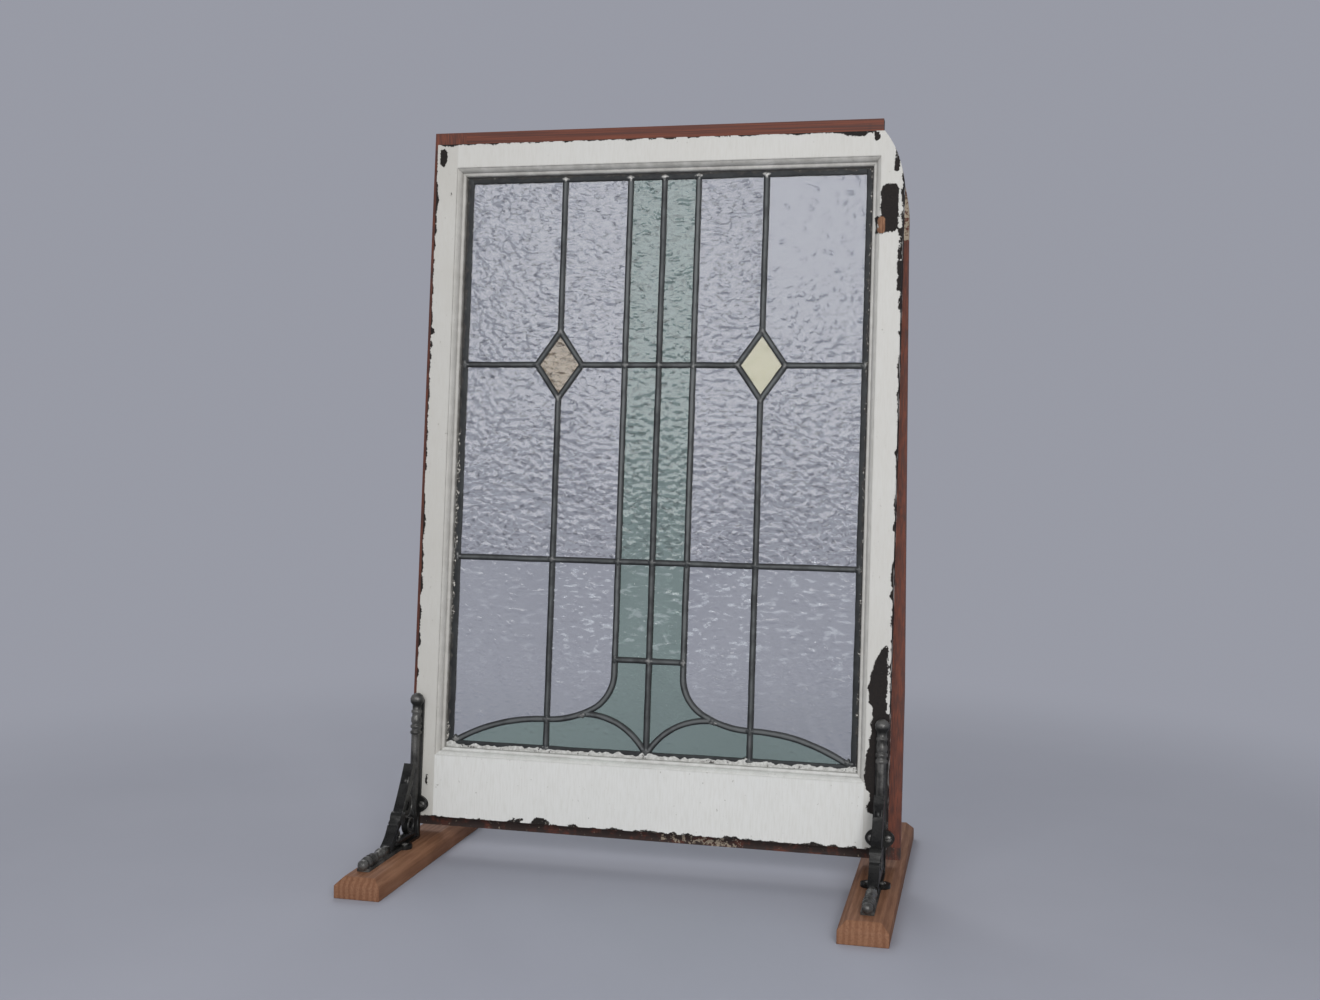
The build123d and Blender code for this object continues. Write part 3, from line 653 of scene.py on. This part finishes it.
def glass_panes():
    """Every pane again with real ripples on its front face."""
    for node, material in PANES.items():
        bm = cad_copy(node)
        front = [f for f in bm.faces if f.calc_center_median().z > 1.0]
        edges = list({e for f in front for e in f.edges})
        verts = list({v for f in front for v in f.verts})
        strips = slice_along(bm, 0, RIPPLE_CELL, verts + edges + front)
        slice_along(bm, 1, RIPPLE_CELL, strips)
        ripple_shade, shade_speckled, dashed = (layer_of(bm, word) for word in ("ripple_shade", "shade_speckled", "dashed"))
        lively = 1.4 if node.startswith("glass_top") else 1.0
        for vert in bm.verts:
            u, v, off = vert.co
            dense = density(node, u, v)
            height = ripple_height(u, v, dense) * lively
            above = ripple_height(u, v + 1.5, dense) * lively
            # Painted shade by slope: lower where the ripple tips down.
            vert[ripple_shade] = clamp(0.86 + (height - above) * 1.6)
            # How much the painted dark streaks show.
            vert[shade_speckled] = dense ** 1.5
            # Strength of the painted glint dashes.
            vert[dashed] = dash_level(node, u, v)
            if off > 0:
                vert.co.z += height
        new_piece(node + "_rippled", bm, [material], node, sharp=60.0)


# Leads

def came_profile(half, rubbed_and_highlight):
    """Closed H outline as (across, off, rubbed_and_highlight) points, with rounded crowns whose top line
    is paler: wear and painted highlight.
    """
    top = [(HEART_HALF, CAME_CHANNEL, 0.0), (half, CAME_CHANNEL, 0.0), (half, CAME_RIM, 0.0)]
    for i in range(1, CROWN_STEPS):
        across = half * math.cos(math.pi * i / CROWN_STEPS)
        rise = math.sin(math.pi * i / CROWN_STEPS)
        # The very top of the crown carries the paler line of wear and painted highlight.
        top.append((across, CAME_RIM + (CAME_CROWN - CAME_RIM) * rise, rubbed_and_highlight * rise ** 14))
    top += [(-half, CAME_RIM, 0.0), (-half, CAME_CHANNEL, 0.0), (-HEART_HALF, CAME_CHANNEL, 0.0)]
    return top + [(-x, -y, w) for x, y, w in top]


def resample(points):
    """Points spaced evenly along a polyline."""
    made = [Vector(points[0])]
    for a, b in zip(points, points[1:]):
        a, b = Vector(a), Vector(b)
        count = max(1, round((b - a).length / CAME_STEP))
        made += [a.lerp(b, i / count) for i in range(1, count + 1)]
    return made


def sweep(bm, points, profile, closed):
    """Sweep an outline along points (u, v), a little unevenly as hand-drawn lead is."""
    layer = layer_of(bm, "crown")
    rings = []
    count = len(points)
    for i, point in enumerate(points):
        before = points[i - 1] if i or closed else points[i]
        after = points[(i + 1) % count] if i < count - 1 or closed else points[i]
        along = (after - before).normalized()
        side = Vector((along.y, -along.x))
        into = (point - before).normalized() if before != point else along
        stretch = 1.0 / max(0.5, abs(along.dot(into)))
        ends = 0.0 if closed else min(1.0, i / 3, (count - 1 - i) / 3)
        wander = turbulence((point.x, point.y, 3), 45.0, 2, 5.0) * CAME_SHAKE * ends
        swell = 1.0 + turbulence((point.x, point.y, 9), 26.0, 2, 6.0) * CAME_SHAKE / 5
        ring = []
        for across, off, worn_and_highlight in profile:
            place = point + side * (across * swell * stretch + wander)
            vert = bm.verts.new((place.x, place.y, off * (0.5 + swell / 2)))
            vert[layer] = worn_and_highlight
            ring.append(vert)
        rings.append(ring)
    loft(bm, rings, closed)


def arc_points(start, heading, radius, turn):
    """Points round an arc from a start, heading and signed turn, without the first one."""
    count = max(3, round(radius * abs(turn) / ARC_STEP))
    side = 1 if turn > 0 else -1
    normal = Vector((-heading.y, heading.x)) * side
    centre = start + normal * radius
    made = []
    for i in range(1, count + 1):
        spin = Matrix.Rotation(turn * i / count, 2)
        made.append(centre + spin @ (start - centre))
    return made


def flare_points(side, top):
    """Inner lead: straight down, then two arcs that curl out to the shoulder."""
    drop = LOWER_V - SHOULDER_V - FLARE_STRAIGHT
    reach = OUTER_U - INNER_LINE
    split = math.radians(FLARE_SPLIT)
    s, c = math.sin(split), math.cos(split)
    wide = (reach * s - drop * (1 - c)) / (c * s - (1 - s) * (1 - c))
    tight = (drop - wide * (1 - s)) / s
    x = side * INNER_LINE
    points = resample([(x, top), (x, LOWER_V - FLARE_STRAIGHT)])
    points += arc_points(points[-1], Vector((0, -1)), tight, side * split)
    heading = Matrix.Rotation(side * split, 2) @ Vector((0, -1))
    points += arc_points(points[-1], heading, wide, side * (math.pi / 2 - split))
    return points


def crest_arc(crest, end):
    """Circular arc that starts level at its crest and ends at a lower point."""
    run = end.x - crest.x
    drop = crest.y - end.y
    radius = (run ** 2 + drop ** 2) / (2 * drop)
    centre = Vector((crest.x, crest.y - radius))
    last = math.atan2(end.x - centre.x, end.y - centre.y)
    count = max(4, round(radius * abs(last) / ARC_STEP))
    turns = [last * i / count for i in range(count + 1)]
    return [centre + Vector((math.sin(t), math.cos(t))) * radius for t in turns]


def lead_piece(name, paths, node, half=CAME_HALF, closed=False, rubbed_and_highlight=1.0):
    bm = bmesh.new()
    profile = came_profile(half, rubbed_and_highlight)
    for path in paths:
        sweep(bm, path if closed else resample(path), profile, closed)
    bmesh.ops.recalc_face_normals(bm, faces=bm.faces)
    new_piece(name, bm, [LEAD], node)


def border_leads():
    """The wide leads round the edge, half hidden by the timber."""
    reach = BORDER_LINE + BORDER_HALF
    top = GRID_H + BORDER_LINE
    runs = {
        "left": [(-BORDER_U, -reach), (-BORDER_U, GRID_H + reach)],
        "right": [(BORDER_U, -reach), (BORDER_U, GRID_H + reach)],
        "top": [(-INNER_EDGE_U, top), (INNER_EDGE_U, top)],
        "bottom": [(-INNER_EDGE_U, -BORDER_LINE), (INNER_EDGE_U, -BORDER_LINE)],
    }
    for word, run in runs.items():
        lead_piece(f"border_lead_{word}", [run], f"border_came_{word}", BORDER_HALF, rubbed_and_highlight=0.0)


def curved_leads(side, word):
    """The leads of one side that bend: flare, diamond and the wave at the foot."""
    x = side * OUTER_U
    high = GRID_H - CAME_HALF
    lead_piece(f"inner_lead_{word}", [flare_points(side, high)], f"inner_came_{word}", rubbed_and_highlight=2.0)
    corners = [
        (x, UPPER_V + DIAMOND_H), (x + DIAMOND_W, UPPER_V),
        (x, UPPER_V - DIAMOND_H), (x - DIAMOND_W, UPPER_V),
    ]
    loop = resample(corners + corners[:1])[:-1]
    lead_piece(f"diamond_lead_{word}", [loop], f"diamond_came_{word}", closed=True)
    wave = crest_arc(Vector((x, SHOULDER_V)), Vector((side * BORDER_U, -BORDER_LINE)))
    wave = [p for p in wave if abs(p.x) < INNER_EDGE_U + 2 and p.y > CAME_HALF - 2]
    lead_piece(f"wave_lead_{word}", [wave], f"wave_came_{word}", rubbed_and_highlight=2.0)


def root_path(side):
    crest = Vector((side * ROOT_CREST.x, ROOT_CREST.y))
    return [p for p in crest_arc(crest, Vector((0, 0))) if p.y > CAME_HALF - 2]


def leads():
    """All the lead cames as swept H sections."""
    low = CAME_HALF
    high = GRID_H - CAME_HALF
    border_leads()
    lead_piece("centre_lead", [[(0, low), (0, high)]], "centre_came")
    upper, middle, lower = [], [], []
    for side, word in ((-1, "left"), (1, "right")):
        curved_leads(side, word)
        x = side * OUTER_U
        spans = [[(x, low), (x, UPPER_V - DIAMOND_H)], [(x, UPPER_V + DIAMOND_H), (x, high)]]
        lead_piece(f"outer_lead_{word}", spans, f"outer_came_{word}")
        ends = [0, INNER_LINE, OUTER_U, GRID_HALF_W]
        for near, far in zip(ends, ends[1:]):
            middle.append([(side * near, MIDDLE_V), (side * far, MIDDLE_V)])
        upper.append([(0, UPPER_V), (side * (OUTER_U - DIAMOND_W), UPPER_V)])
        upper.append([(side * (OUTER_U + DIAMOND_W), UPPER_V), (side * GRID_HALF_W, UPPER_V)])
        lower.append([(0, LOWER_V), (side * INNER_LINE, LOWER_V)])
    lead_piece("root_leads", [root_path(-1), root_path(1)], "root_cames", rubbed_and_highlight=2.0)
    lead_piece("upper_bars", upper, "crossbars_upper")
    lead_piece("middle_bars", middle, "crossbars_middle")
    lead_piece("lower_bars", lower, "crossbars_lower")


# Solder

def solder_blob(bm, u, v, arms, bright, sign):
    """Low lump of solder whose outline reaches out along each lead it joins."""
    layer = layer_of(bm, "bright")
    seed = u * 0.13 + v * 0.07 + (5 if sign < 0 else 0)
    crest = CAME_CROWN + SOLDER_RISE
    top = bm.verts.new((u, v, sign * crest))
    top[layer] = bright
    previous = None
    for ring in range(1, SOLDER_RINGS + 1):
        share = ring / SOLDER_RINGS
        lift = math.sqrt(max(0.0, 1 - share ** 2.6))
        current = []
        for spoke in range(SOLDER_SPOKES):
            turn = 2 * math.pi * spoke / SOLDER_SPOKES
            pull = max(max(0.0, math.cos(turn - math.radians(arm))) ** 10 for arm in arms)
            ragged = turbulence((math.cos(turn) * 2, math.sin(turn) * 2, seed), 1.3, 2, 8.0)
            reach = (CAME_HALF * 0.95 + (SOLDER_REACH - CAME_HALF) * pull) * (1 + 0.16 * ragged)
            out_u = u + share * reach * math.cos(turn)
            out_v = v + share * reach * math.sin(turn)
            bumpy = turbulence((out_u, out_v, seed), 3.0, 2, 4.0)
            off = SOLDER_FLOOR + (crest - SOLDER_FLOOR) * lift + 0.18 * bumpy * (1 - share)
            made = bm.verts.new((out_u, out_v, sign * off))
            made[layer] = bright * (1 - share ** 3)
            current.append(made)
        for spoke in range(SOLDER_SPOKES):
            after = (spoke + 1) % SOLDER_SPOKES
            if previous is None:
                bm.faces.new((top, current[spoke], current[after]))
            else:
                bm.faces.new((previous[spoke], current[spoke], current[after], previous[after]))
        previous = current
    bm.faces.new(reversed(previous))


def solder_joints():
    """Where each joint lies, and the headings in degrees of the leads that meet there."""
    cross = (0, 90, 180, 270)
    joints = [(0, UPPER_V, cross), (0, MIDDLE_V, cross), (0, LOWER_V, cross)]
    joints += [(0, GRID_H, (270, 0, 180)), (0, 3.0, (30, 90, 150, 270))]
    right_half = [
        (INNER_LINE, UPPER_V, cross), (GRID_HALF_W, UPPER_V, (180, 90, 270)),
        (INNER_LINE, MIDDLE_V, cross), (GRID_HALF_W, MIDDLE_V, (180, 90, 270)),
        (INNER_LINE, LOWER_V, (90, 270, 180)), (OUTER_U, MIDDLE_V, cross),
        (INNER_LINE, GRID_H, (270, 0, 180)), (OUTER_U, GRID_H, (270, 0, 180)),
        (OUTER_U, 0.0, (90, 0, 180)), (OUTER_U, SHOULDER_V, cross),
        (OUTER_U, UPPER_V + DIAMOND_H, (90, 235, 305)), (OUTER_U, UPPER_V - DIAMOND_H, (270, 55, 125)),
        (OUTER_U - DIAMOND_W, UPPER_V, (180, 55, 305)), (OUTER_U + DIAMOND_W, UPPER_V, (0, 125, 235)),
        (*ROOT_ON_FLARE, (125, 180, 345)), (*WAVE_ON_BORDER, (90, 145, 0, 180)),
    ]
    joints += [(-u, v, [(180 - arm) % 360 for arm in arms]) for u, v, arms in right_half]
    return joints + right_half


def solder():
    for sign, name in ((1, "solder_front"), (-1, "solder_back")):
        bm = bmesh.new()
        for u, v, arms in solder_joints():
            bright = 1.3 if v == GRID_H else random.uniform(0.10, 0.50)
            solder_blob(bm, u, v, arms, bright, sign)
        bmesh.ops.recalc_face_normals(bm, faces=bm.faces)
        new_piece(name, bm, [SOLDER])


# Putty and dirt round the edge of the leads

def strip_place(side, along, inward):
    """Panel point on a strip beside the timber, inward from the sight edge."""
    if side == "left":
        return -SIGHT_U + inward, along
    if side == "right":
        return SIGHT_U - inward, along
    if side == "top":
        return along, GRID_H + SIGHT_DROP - inward
    return along, -SIGHT_DROP + inward


def lead_surface(inward):
    """Height of the border lead, or of the glass beyond it, that far in from the sight edge."""
    across = (inward - SIGHT_U + BORDER_U) / BORDER_HALF
    if across < 0.98:
        return CAME_RIM + (CAME_CROWN - CAME_RIM) * math.sqrt(1 - across ** 2)
    return 1.5


def ragged_strip(name, side, width, thick, material, fleck):
    """Uneven ridge along one side of the opening; width says how far in it spreads at a place."""
    bm = bmesh.new()
    flecked = layer_of(bm, "flecked")
    level = side in ("top", "bottom")
    first, last = (-SIGHT_U, SIGHT_U) if level else (-SIGHT_DROP, GRID_H + SIGHT_DROP)
    count = round((last - first) / STRIP_STEP)
    rings = []
    for i in range(count + 1):
        along = first + (last - first) * i / count
        spread = max(0.6, width(along))
        ring = []
        for share in (0.0, 0.3, 0.6, 0.85, 1.0):
            u, v = strip_place(side, along, share * spread)
            bumpy = 1 + 0.5 * turbulence((u, v, thick * 9), 5.0, 3, 21.0)
            off = lead_surface(share * spread) + thick * bumpy * (1 - share ** 4) - 0.2 * share
            ring.append(bm.verts.new((u, v, off)))
        for share in (1.0, 0.0):
            u, v = strip_place(side, along, share * spread)
            ring.append(bm.verts.new((u, v, 1.2)))
        for vert in ring:
            vert[flecked] = fleck(along)
        rings.append(ring)
    loft(bm, rings)
    bmesh.ops.recalc_face_normals(bm, faces=bm.faces)
    new_piece(name, bm, [material], sharp=60.0)


def edge_dirt():
    """Black dirt with white crumbs at the sides and top, and the painted putty line at the foot."""
    def side_width(seed):
        return lambda along: 3.0 + 3.0 * turbulence((along, seed, 0), 9.0, 4, seed)

    def left_fleck(along):
        return 0.17 if 150 < along < 430 or along < 30 else 0.06

    def foot_width(along):
        lumps = sum(math.exp(-((along - at) / 7.0) ** 2) for at in PUTTY_LUMPS)
        return 5.2 + 2.4 * turbulence((along, 3, 0), 11.0, 4, 23.0) + 5.5 * lumps

    ragged_strip("dirt_left", "left", side_width(3.0), 0.35, GRIME, left_fleck)
    ragged_strip("dirt_right", "right", side_width(5.0), 0.45, GRIME, lambda along: 0.12)
    ragged_strip("dirt_top", "top", side_width(7.0), 0.45, GRIME, lambda along: 0.04)
    ragged_strip(
        "dirt_foot", "bottom", lambda along: foot_width(along) + 1.6, 0.2, GRIME, lambda along: -0.1
    )
    ragged_strip("putty_line", "bottom", foot_width, 0.75, PUTTY, lambda along: 0.0)


# Timber

def rounded_distance(u, v, chip):
    """Distance inside (+) or outside (-) a round-cornered rectangle."""
    cu, cv, half_w, half_h, corner = chip
    dx = abs(u - cu) - (half_w - corner)
    dy = abs(v - cv) - (half_h - corner)
    outside = math.hypot(max(dx, 0.0), max(dy, 0.0)) + min(max(dx, dy), 0.0)
    return corner - outside


def patch_depth(u, v):
    """Distance inside the large black patch on the right stile, negative outside it."""
    top, bottom = PATCH_EDGE[0][0], PATCH_EDGE[-1][0]
    inside = min(top - v, v - bottom)
    if inside < -CHIP_SOFT:
        return inside
    level = clamp(v, bottom, top)
    for (high, high_u), (low, low_u) in zip(PATCH_EDGE, PATCH_EDGE[1:]):
        if low <= level <= high:
            left = low_u + (high_u - low_u) * (level - low) / (high - low)
    inside = min(inside, u - left)
    if v > PATCH_OPEN_V:
        inside = min(inside, PATCH_RIGHT_U - u)
    return inside


def edge_wear(u, v):
    """Ragged bare line where the paint has gone from the outer edges of the face."""
    to_side = FACE_HALF_W - abs(u)
    to_end = min(FACE_TOP - v, v - FACE_BOTTOM)
    ragged = turbulence((u, v, 0), 16.0, 4, 11.0)
    side_width = 0.7 + 2.2 * ragged if u < 0 else 1.0 + 3.4 * ragged
    if u < 0 and WORN_LEFT_V[0] < v < WORN_LEFT_V[1]:
        side_width += 1.2
    end_width = 0.9 + 3.2 * ragged if v < 0 else 0.5 + 2.0 * ragged
    return max(side_width - to_side, end_width - to_end)


def bare_field(u, v, off):
    """How bare a place on the timber is: above 0 the paint has gone."""
    if off < LIP_FRONT + 0.5:
        return -1.0 + 0.8 * turbulence((u, v, off), 40.0, 3, 13.0)
    side_wall = abs(u) > FACE_HALF_W - 0.3 or v > FACE_TOP - 0.3 or v < FACE_BOTTOM + 0.3
    if side_wall and off < FACE_FRONT - 0.5:
        return 0.25 + 0.8 * turbulence((u, v, off), 22.0, 3, 14.0)
    inside = max(rounded_distance(u, v, chip) for chip in CHIPS)
    inside = max(inside, patch_depth(u, v), rounded_distance(u, v, SPLINTER))
    inside += 1.3 * turbulence((u, v, 0), 9.0, 3, 12.0)
    return clamp(max(inside, edge_wear(u, v)) / CHIP_SOFT, -1.0)


def grime_and_shade_field(u, v, off):
    """Dirt and painted shade in the moulding: darker in its hollows and beside the glass, darkest on the
    top rail, whose moulding faces down, and least at the foot.
    """
    inner_u = abs(u) - SIGHT_U
    inner_v = max(v - GRID_H - SIGHT_DROP, -SIGHT_DROP - v)
    depth = max(inner_u, inner_v)
    hollow = math.exp(-((depth - 3.6) / 0.9) ** 2) * 0.55 + math.exp(-(depth / 0.8) ** 2) * 0.75
    if off < LIP_FRONT or depth > MOULDING_W:
        return 0.0
    # Painted shade by side: the top moulding faces down and is darkest, the bottom one faces up and is
    # lightest.
    aged_and_shaded = 0.20 if -SIGHT_DROP - v > inner_u - 0.1 else 0.50 if inner_v > inner_u else 0.26
    return max(aged_and_shaded, hollow)


def flake_level(u, v):
    """How much old paint clings to the lip at a place."""
    if v < FACE_BOTTOM + 0.5:
        return 0.46 if FLAKED_FOOT_U[0] < u < FLAKED_FOOT_U[1] else 0.34
    if v > FACE_TOP - 0.5:
        return 0.26
    if u > 0:
        return 0.56 if FLAKED_RIGHT_V[0] < v < FLAKED_RIGHT_V[1] else 0.24
    return 0.28


def blackened_and_shade_level(u, v, off):
    """How blackened the lip is at a place: black old paint, and on the bottom lip, in the shadow of the
    face above, painted shade as well.
    """
    if v < FACE_BOTTOM + 0.5:
        # Bottom lip: black old paint and painted shade under the face.
        return 0.3
    if v > FACE_TOP - 0.5 and off > LIP_FRONT - 0.5:
        return 0.3 * max(0.0, 1.0 - (v - FACE_TOP) / 7.0)
    in_corner = u < -273 and v > 820 or u > 0 and v > 800
    return 0.25 if in_corner else 0.05


def worn_limit(v):
    """How far out the tenon of the top rail reaches at a height in the worn corner."""
    for (low, low_u), (high, high_u) in zip(WORN_TENON, WORN_TENON[1:]):
        if low <= v <= high:
            return low_u + (high_u - low_u) * (v - low) / (high - low)
    return FACE_HALF_W + SIGHT_U


def wear_at(node, u, v, off):
    """What the paint and the lip read at a place on a stile or rail."""
    return {
        "bare": bare_field(u, v, off),
        "grime_and_shade": grime_and_shade_field(u, v, off),
        "blackened_and_shade": blackened_and_shade_level(u, v, off),
        "flaky": flake_level(u, v),
        "upright": float(node.endswith("stile")),
        "splinter": clamp(rounded_distance(u, v, SPLINTER) / CHIP_SOFT, -1.0),
        "flecked": 0.11 if v < FACE_BOTTOM + 5 else 0.0,
        "aged_and_shaded": AGED_AND_SHADED[node],
    }


def timber_piece(node):
    """A stile or rail with fine cells that carry its wear."""
    bm = cad_copy(node)
    for axis in range(3):
        slice_along(bm, axis, TIMBER_CELL)
    layers = {name: layer_of(bm, name) for name in wear_at(node, 0, 0, 0)}
    for vert in bm.verts:
        if node == "top_rail":
            vert.co.x = min(vert.co.x, worn_limit(vert.co.y))
        for name, value in wear_at(node, *vert.co).items():
            vert[layers[name]] = value
    for face in bm.faces:
        face.material_index = timber_finish(face)
    new_piece(node + "_timber", bm, [PAINT, LIP], node, sharp=25.0)


def timber_finish(face):
    """0 for painted faces, 1 for the red-brown lip."""
    u, v, off = face.calc_center_median()
    if u > SIGHT_U + MOULDING_W + 1 and v > GRID_H - 6 and off < FACE_FRONT - 0.5:
        return 1
    outside = abs(u) > FACE_HALF_W - 0.2 or v > FACE_TOP - 0.2 or v < FACE_BOTTOM + 0.2
    return 1 if outside and LIP_BACK + 0.1 < off < LIP_FRONT + 0.01 else 0


def timber():
    for node in AGED_AND_SHADED:
        timber_piece(node)


# Stand

def rub_and_highlight_level(p, h):
    """How rubbed the iron is, with painted highlight: most on the turned beads and the knobs."""
    on_post = p < 25 and h > 110 and any(abs(h - at) < half + 1 for at, half in POST_BEADS)
    on_reach = h < 25 and p > 100 and any(abs(p - at) < half + 1 for at, half in REACH_BEADS)
    return 0.55 if on_post or on_reach else 0.05


def screw_head(bm, centre, across, out):
    """Domed screw head with a slot, standing on a surface that faces out."""
    level = layer_of(bm, "rubbed_and_highlight")
    side = out.cross(across)
    turn = random.uniform(0, math.pi)
    first = across * math.cos(turn) + side * math.sin(turn)
    second = out.cross(first)
    for half in (-1, 1):
        rings = []
        for share, lift in ((1.0, -0.4), (1.0, 0.5), (0.82, 1.2), (0.45, 1.7)):
            ring = []
            for i in range(SCREW_SIDES + 1):
                angle = math.pi * i / SCREW_SIDES
                off_slot = max(SCREW_SLOT, share * SCREW_R * math.sin(angle))
                place = first * (share * SCREW_R * math.cos(angle)) + second * (half * off_slot)
                vert = bm.verts.new(centre + place + out * lift)
                # Worn metal and painted highlight on the screw heads.
                vert[level] = 0.8
                ring.append(vert)
            rings.append(ring)
        loft(bm, rings)


def bead_ring(bm, centre, axis, radius, tube):
    """Raised ring round a scroll eye."""
    level = layer_of(bm, "rubbed_and_highlight")
    first = axis.orthogonal().normalized()
    second = axis.cross(first)
    rings = []
    for i in range(RING_SIDES):
        angle = 2 * math.pi * i / RING_SIDES
        outward = first * math.cos(angle) + second * math.sin(angle)
        ring = []
        for k in range(TUBE_SIDES):
            roll = 2 * math.pi * k / TUBE_SIDES
            place = centre + outward * (radius + tube * math.cos(roll))
            vert = bm.verts.new(place + axis * (tube * math.sin(roll)))
            # Worn metal and painted highlight on the scroll rings.
            vert[level] = 0.45
            ring.append(vert)
        rings.append(ring)
    loft(bm, rings, closed=True)


def bracket(word):
    """One iron bracket with smooth bars, rubbed beads with painted highlights, ringed scrolls and its
    screws.
    """
    bm = cad_copy(f"bracket_{word}", TO_WORLD_MM)
    level = layer_of(bm, "rubbed_and_highlight")
    for vert in bm.verts:
        vert[level] = rub_and_highlight_level(FACE_Y_AT_FOOT - vert.co.y, vert.co.z - FOOT_TOP)
    middle = BRACKET_X[word]
    ahead = Vector((1, 0, 0))
    for p, h, radius in SCROLLS:
        for face in (-1, 1):
            centre = Vector((middle + face * SCROLL_HALF_T, FACE_Y_AT_FOOT - p, FOOT_TOP + h))
            bead_ring(bm, centre, ahead, radius - 1.8 * SCROLL_BEAD_R, SCROLL_BEAD_R)
    up = Vector((0, math.sin(LEAN), math.cos(LEAN)))
    out = Vector((0, -math.cos(LEAN), math.sin(LEAN)))
    seat = Vector((middle, FACE_Y_AT_FOOT, FOOT_TOP)) + up * SASH_EAR_H + out * EAR_T
    ledge = Vector((middle, FACE_Y_AT_FOOT - FOOT_EAR_P, FOOT_TOP + EAR_T))
    for face in (-1, 1):
        screw_head(bm, seat + ahead * (face * SASH_SCREW), ahead, out)
        screw_head(bm, ledge + ahead * (face * FOOT_SCREW), ahead, Vector((0, 0, 1)))
    bmesh.ops.recalc_face_normals(bm, faces=bm.faces)
    new_piece(f"bracket_{word}_iron", bm, [IRON], f"bracket_{word}", FROM_WORLD_MM)


def stand():
    for word in ("left", "right"):
        bm = cad_copy(f"{word}_foot", TO_WORLD_MM)
        bmesh.ops.bevel(bm, geom=bm.edges[:], offset=1.0, segments=2, profile=0.6, affect="EDGES")
        new_piece(f"{word}_foot_runner", bm, [FOOT], f"{word}_foot", FROM_WORLD_MM)
        bracket(word)


def back_putty():
    for word in ("left", "right", "top", "bottom"):
        data = NODES[f"putty_{word}"].data
        data.materials.clear()
        data.materials.append(PUTTY)


# Studio

def camera():
    yaw, pitch, roll = (math.radians(a) for a in (CAMERA_YAW, CAMERA_PITCH, CAMERA_ROLL))
    ahead = Vector((math.sin(yaw) * math.cos(pitch), math.cos(yaw) * math.cos(pitch), math.sin(pitch)))
    right = ahead.cross(Vector((0, 0, 1))).normalized()
    up = right.cross(ahead)
    rolled_right = right * math.cos(roll) + up * math.sin(roll)
    rolled_up = up * math.cos(roll) - right * math.sin(roll)
    data = bpy.data.cameras.new("camera")
    data.sensor_width = SENSOR_MM
    data.lens = SENSOR_MM * FOCAL_PX / IMAGE_W
    data.clip_start = 0.05
    made = add_object("camera", data)
    axes = Matrix((rolled_right, rolled_up, -ahead)).transposed().to_4x4()
    made.matrix_world = Matrix.Translation(Vector(CAMERA_AT)) @ axes
    bpy.context.scene.camera = made


def floor():
    """Plain floor whose far part melts into the backdrop."""
    bm = bmesh.new()
    bmesh.ops.create_grid(bm, x_segments=1, y_segments=1, size=6.0)
    mesh = bpy.data.meshes.new("floor")
    bm.to_mesh(mesh)
    bm.free()
    material, tree = blank_material("pale_floor")
    place = coordinates(tree)
    mottled = noise_value(tree, place, 3.0, 3.0)
    colour = blend(tree, mottled, (0.35, 0.36, 0.42), (0.39, 0.40, 0.46))
    near = add_node(tree, "ShaderNodeBsdfPrincipled", {"Base Color": colour, "Roughness": 0.85})
    distance = add_node(tree, "ShaderNodeVectorMath", {0: place}, operation="LENGTH").outputs["Value"]
    far = maths(tree, "MULTIPLY", ramp(tree, distance, *FLOOR_FADE), seen_ray(tree))
    glow = add_node(tree, "ShaderNodeEmission", {"Color": (*BACKDROP, 1), "Strength": 1.0})
    mixed = mix_shaders(tree, far, near.outputs[0], glow.outputs[0])
    mesh.materials.append(close_material(material, mixed))
    add_object("floor", mesh)


def seen_ray(tree):
    """1 for rays that show a surface to the camera, straight or through glass."""
    path = add_node(tree, "ShaderNodeLightPath")
    seen = maths(tree, "MAXIMUM", path.outputs["Is Camera Ray"], path.outputs["Is Transmission Ray"])
    return maths(tree, "MAXIMUM", seen, path.outputs["Is Glossy Ray"])


def lamp(name, place, aim_height, size, power):
    data = bpy.data.lights.new(name, "AREA")
    data.shape = "RECTANGLE"
    data.size, data.size_y = size
    data.energy = power
    made = add_object(name, data)
    made.visible_transmission = False
    aim = (Vector((0, 0, aim_height)) - Vector(place)).to_track_quat("-Z", "Y")
    made.matrix_world = Matrix.Translation(Vector(place)) @ aim.to_matrix().to_4x4()


def world():
    made = bpy.data.worlds.new("studio")
    bpy.context.scene.world = made
    made.use_nodes = True
    tree = made.node_tree
    tree.nodes.clear()
    shaders = []
    for colour, strength in (((0.96, 0.98, 1.0), AMBIENT), (BACKDROP, 1.0)):
        made = add_node(tree, "ShaderNodeBackground", {"Color": (*colour, 1), "Strength": strength})
        shaders.append(made.outputs[0])
    mixed = mix_shaders(tree, seen_ray(tree), *shaders)
    add_node(tree, "ShaderNodeOutputWorld", {"Surface": mixed})


def studio():
    bpy.context.scene.view_settings.view_transform = "Standard"
    camera()
    floor()
    world()
    for name, values in LAMPS.items():
        lamp(name, *values)


glass_panes()
leads()
solder()
edge_dirt()
timber()
stand()
back_putty()
studio()
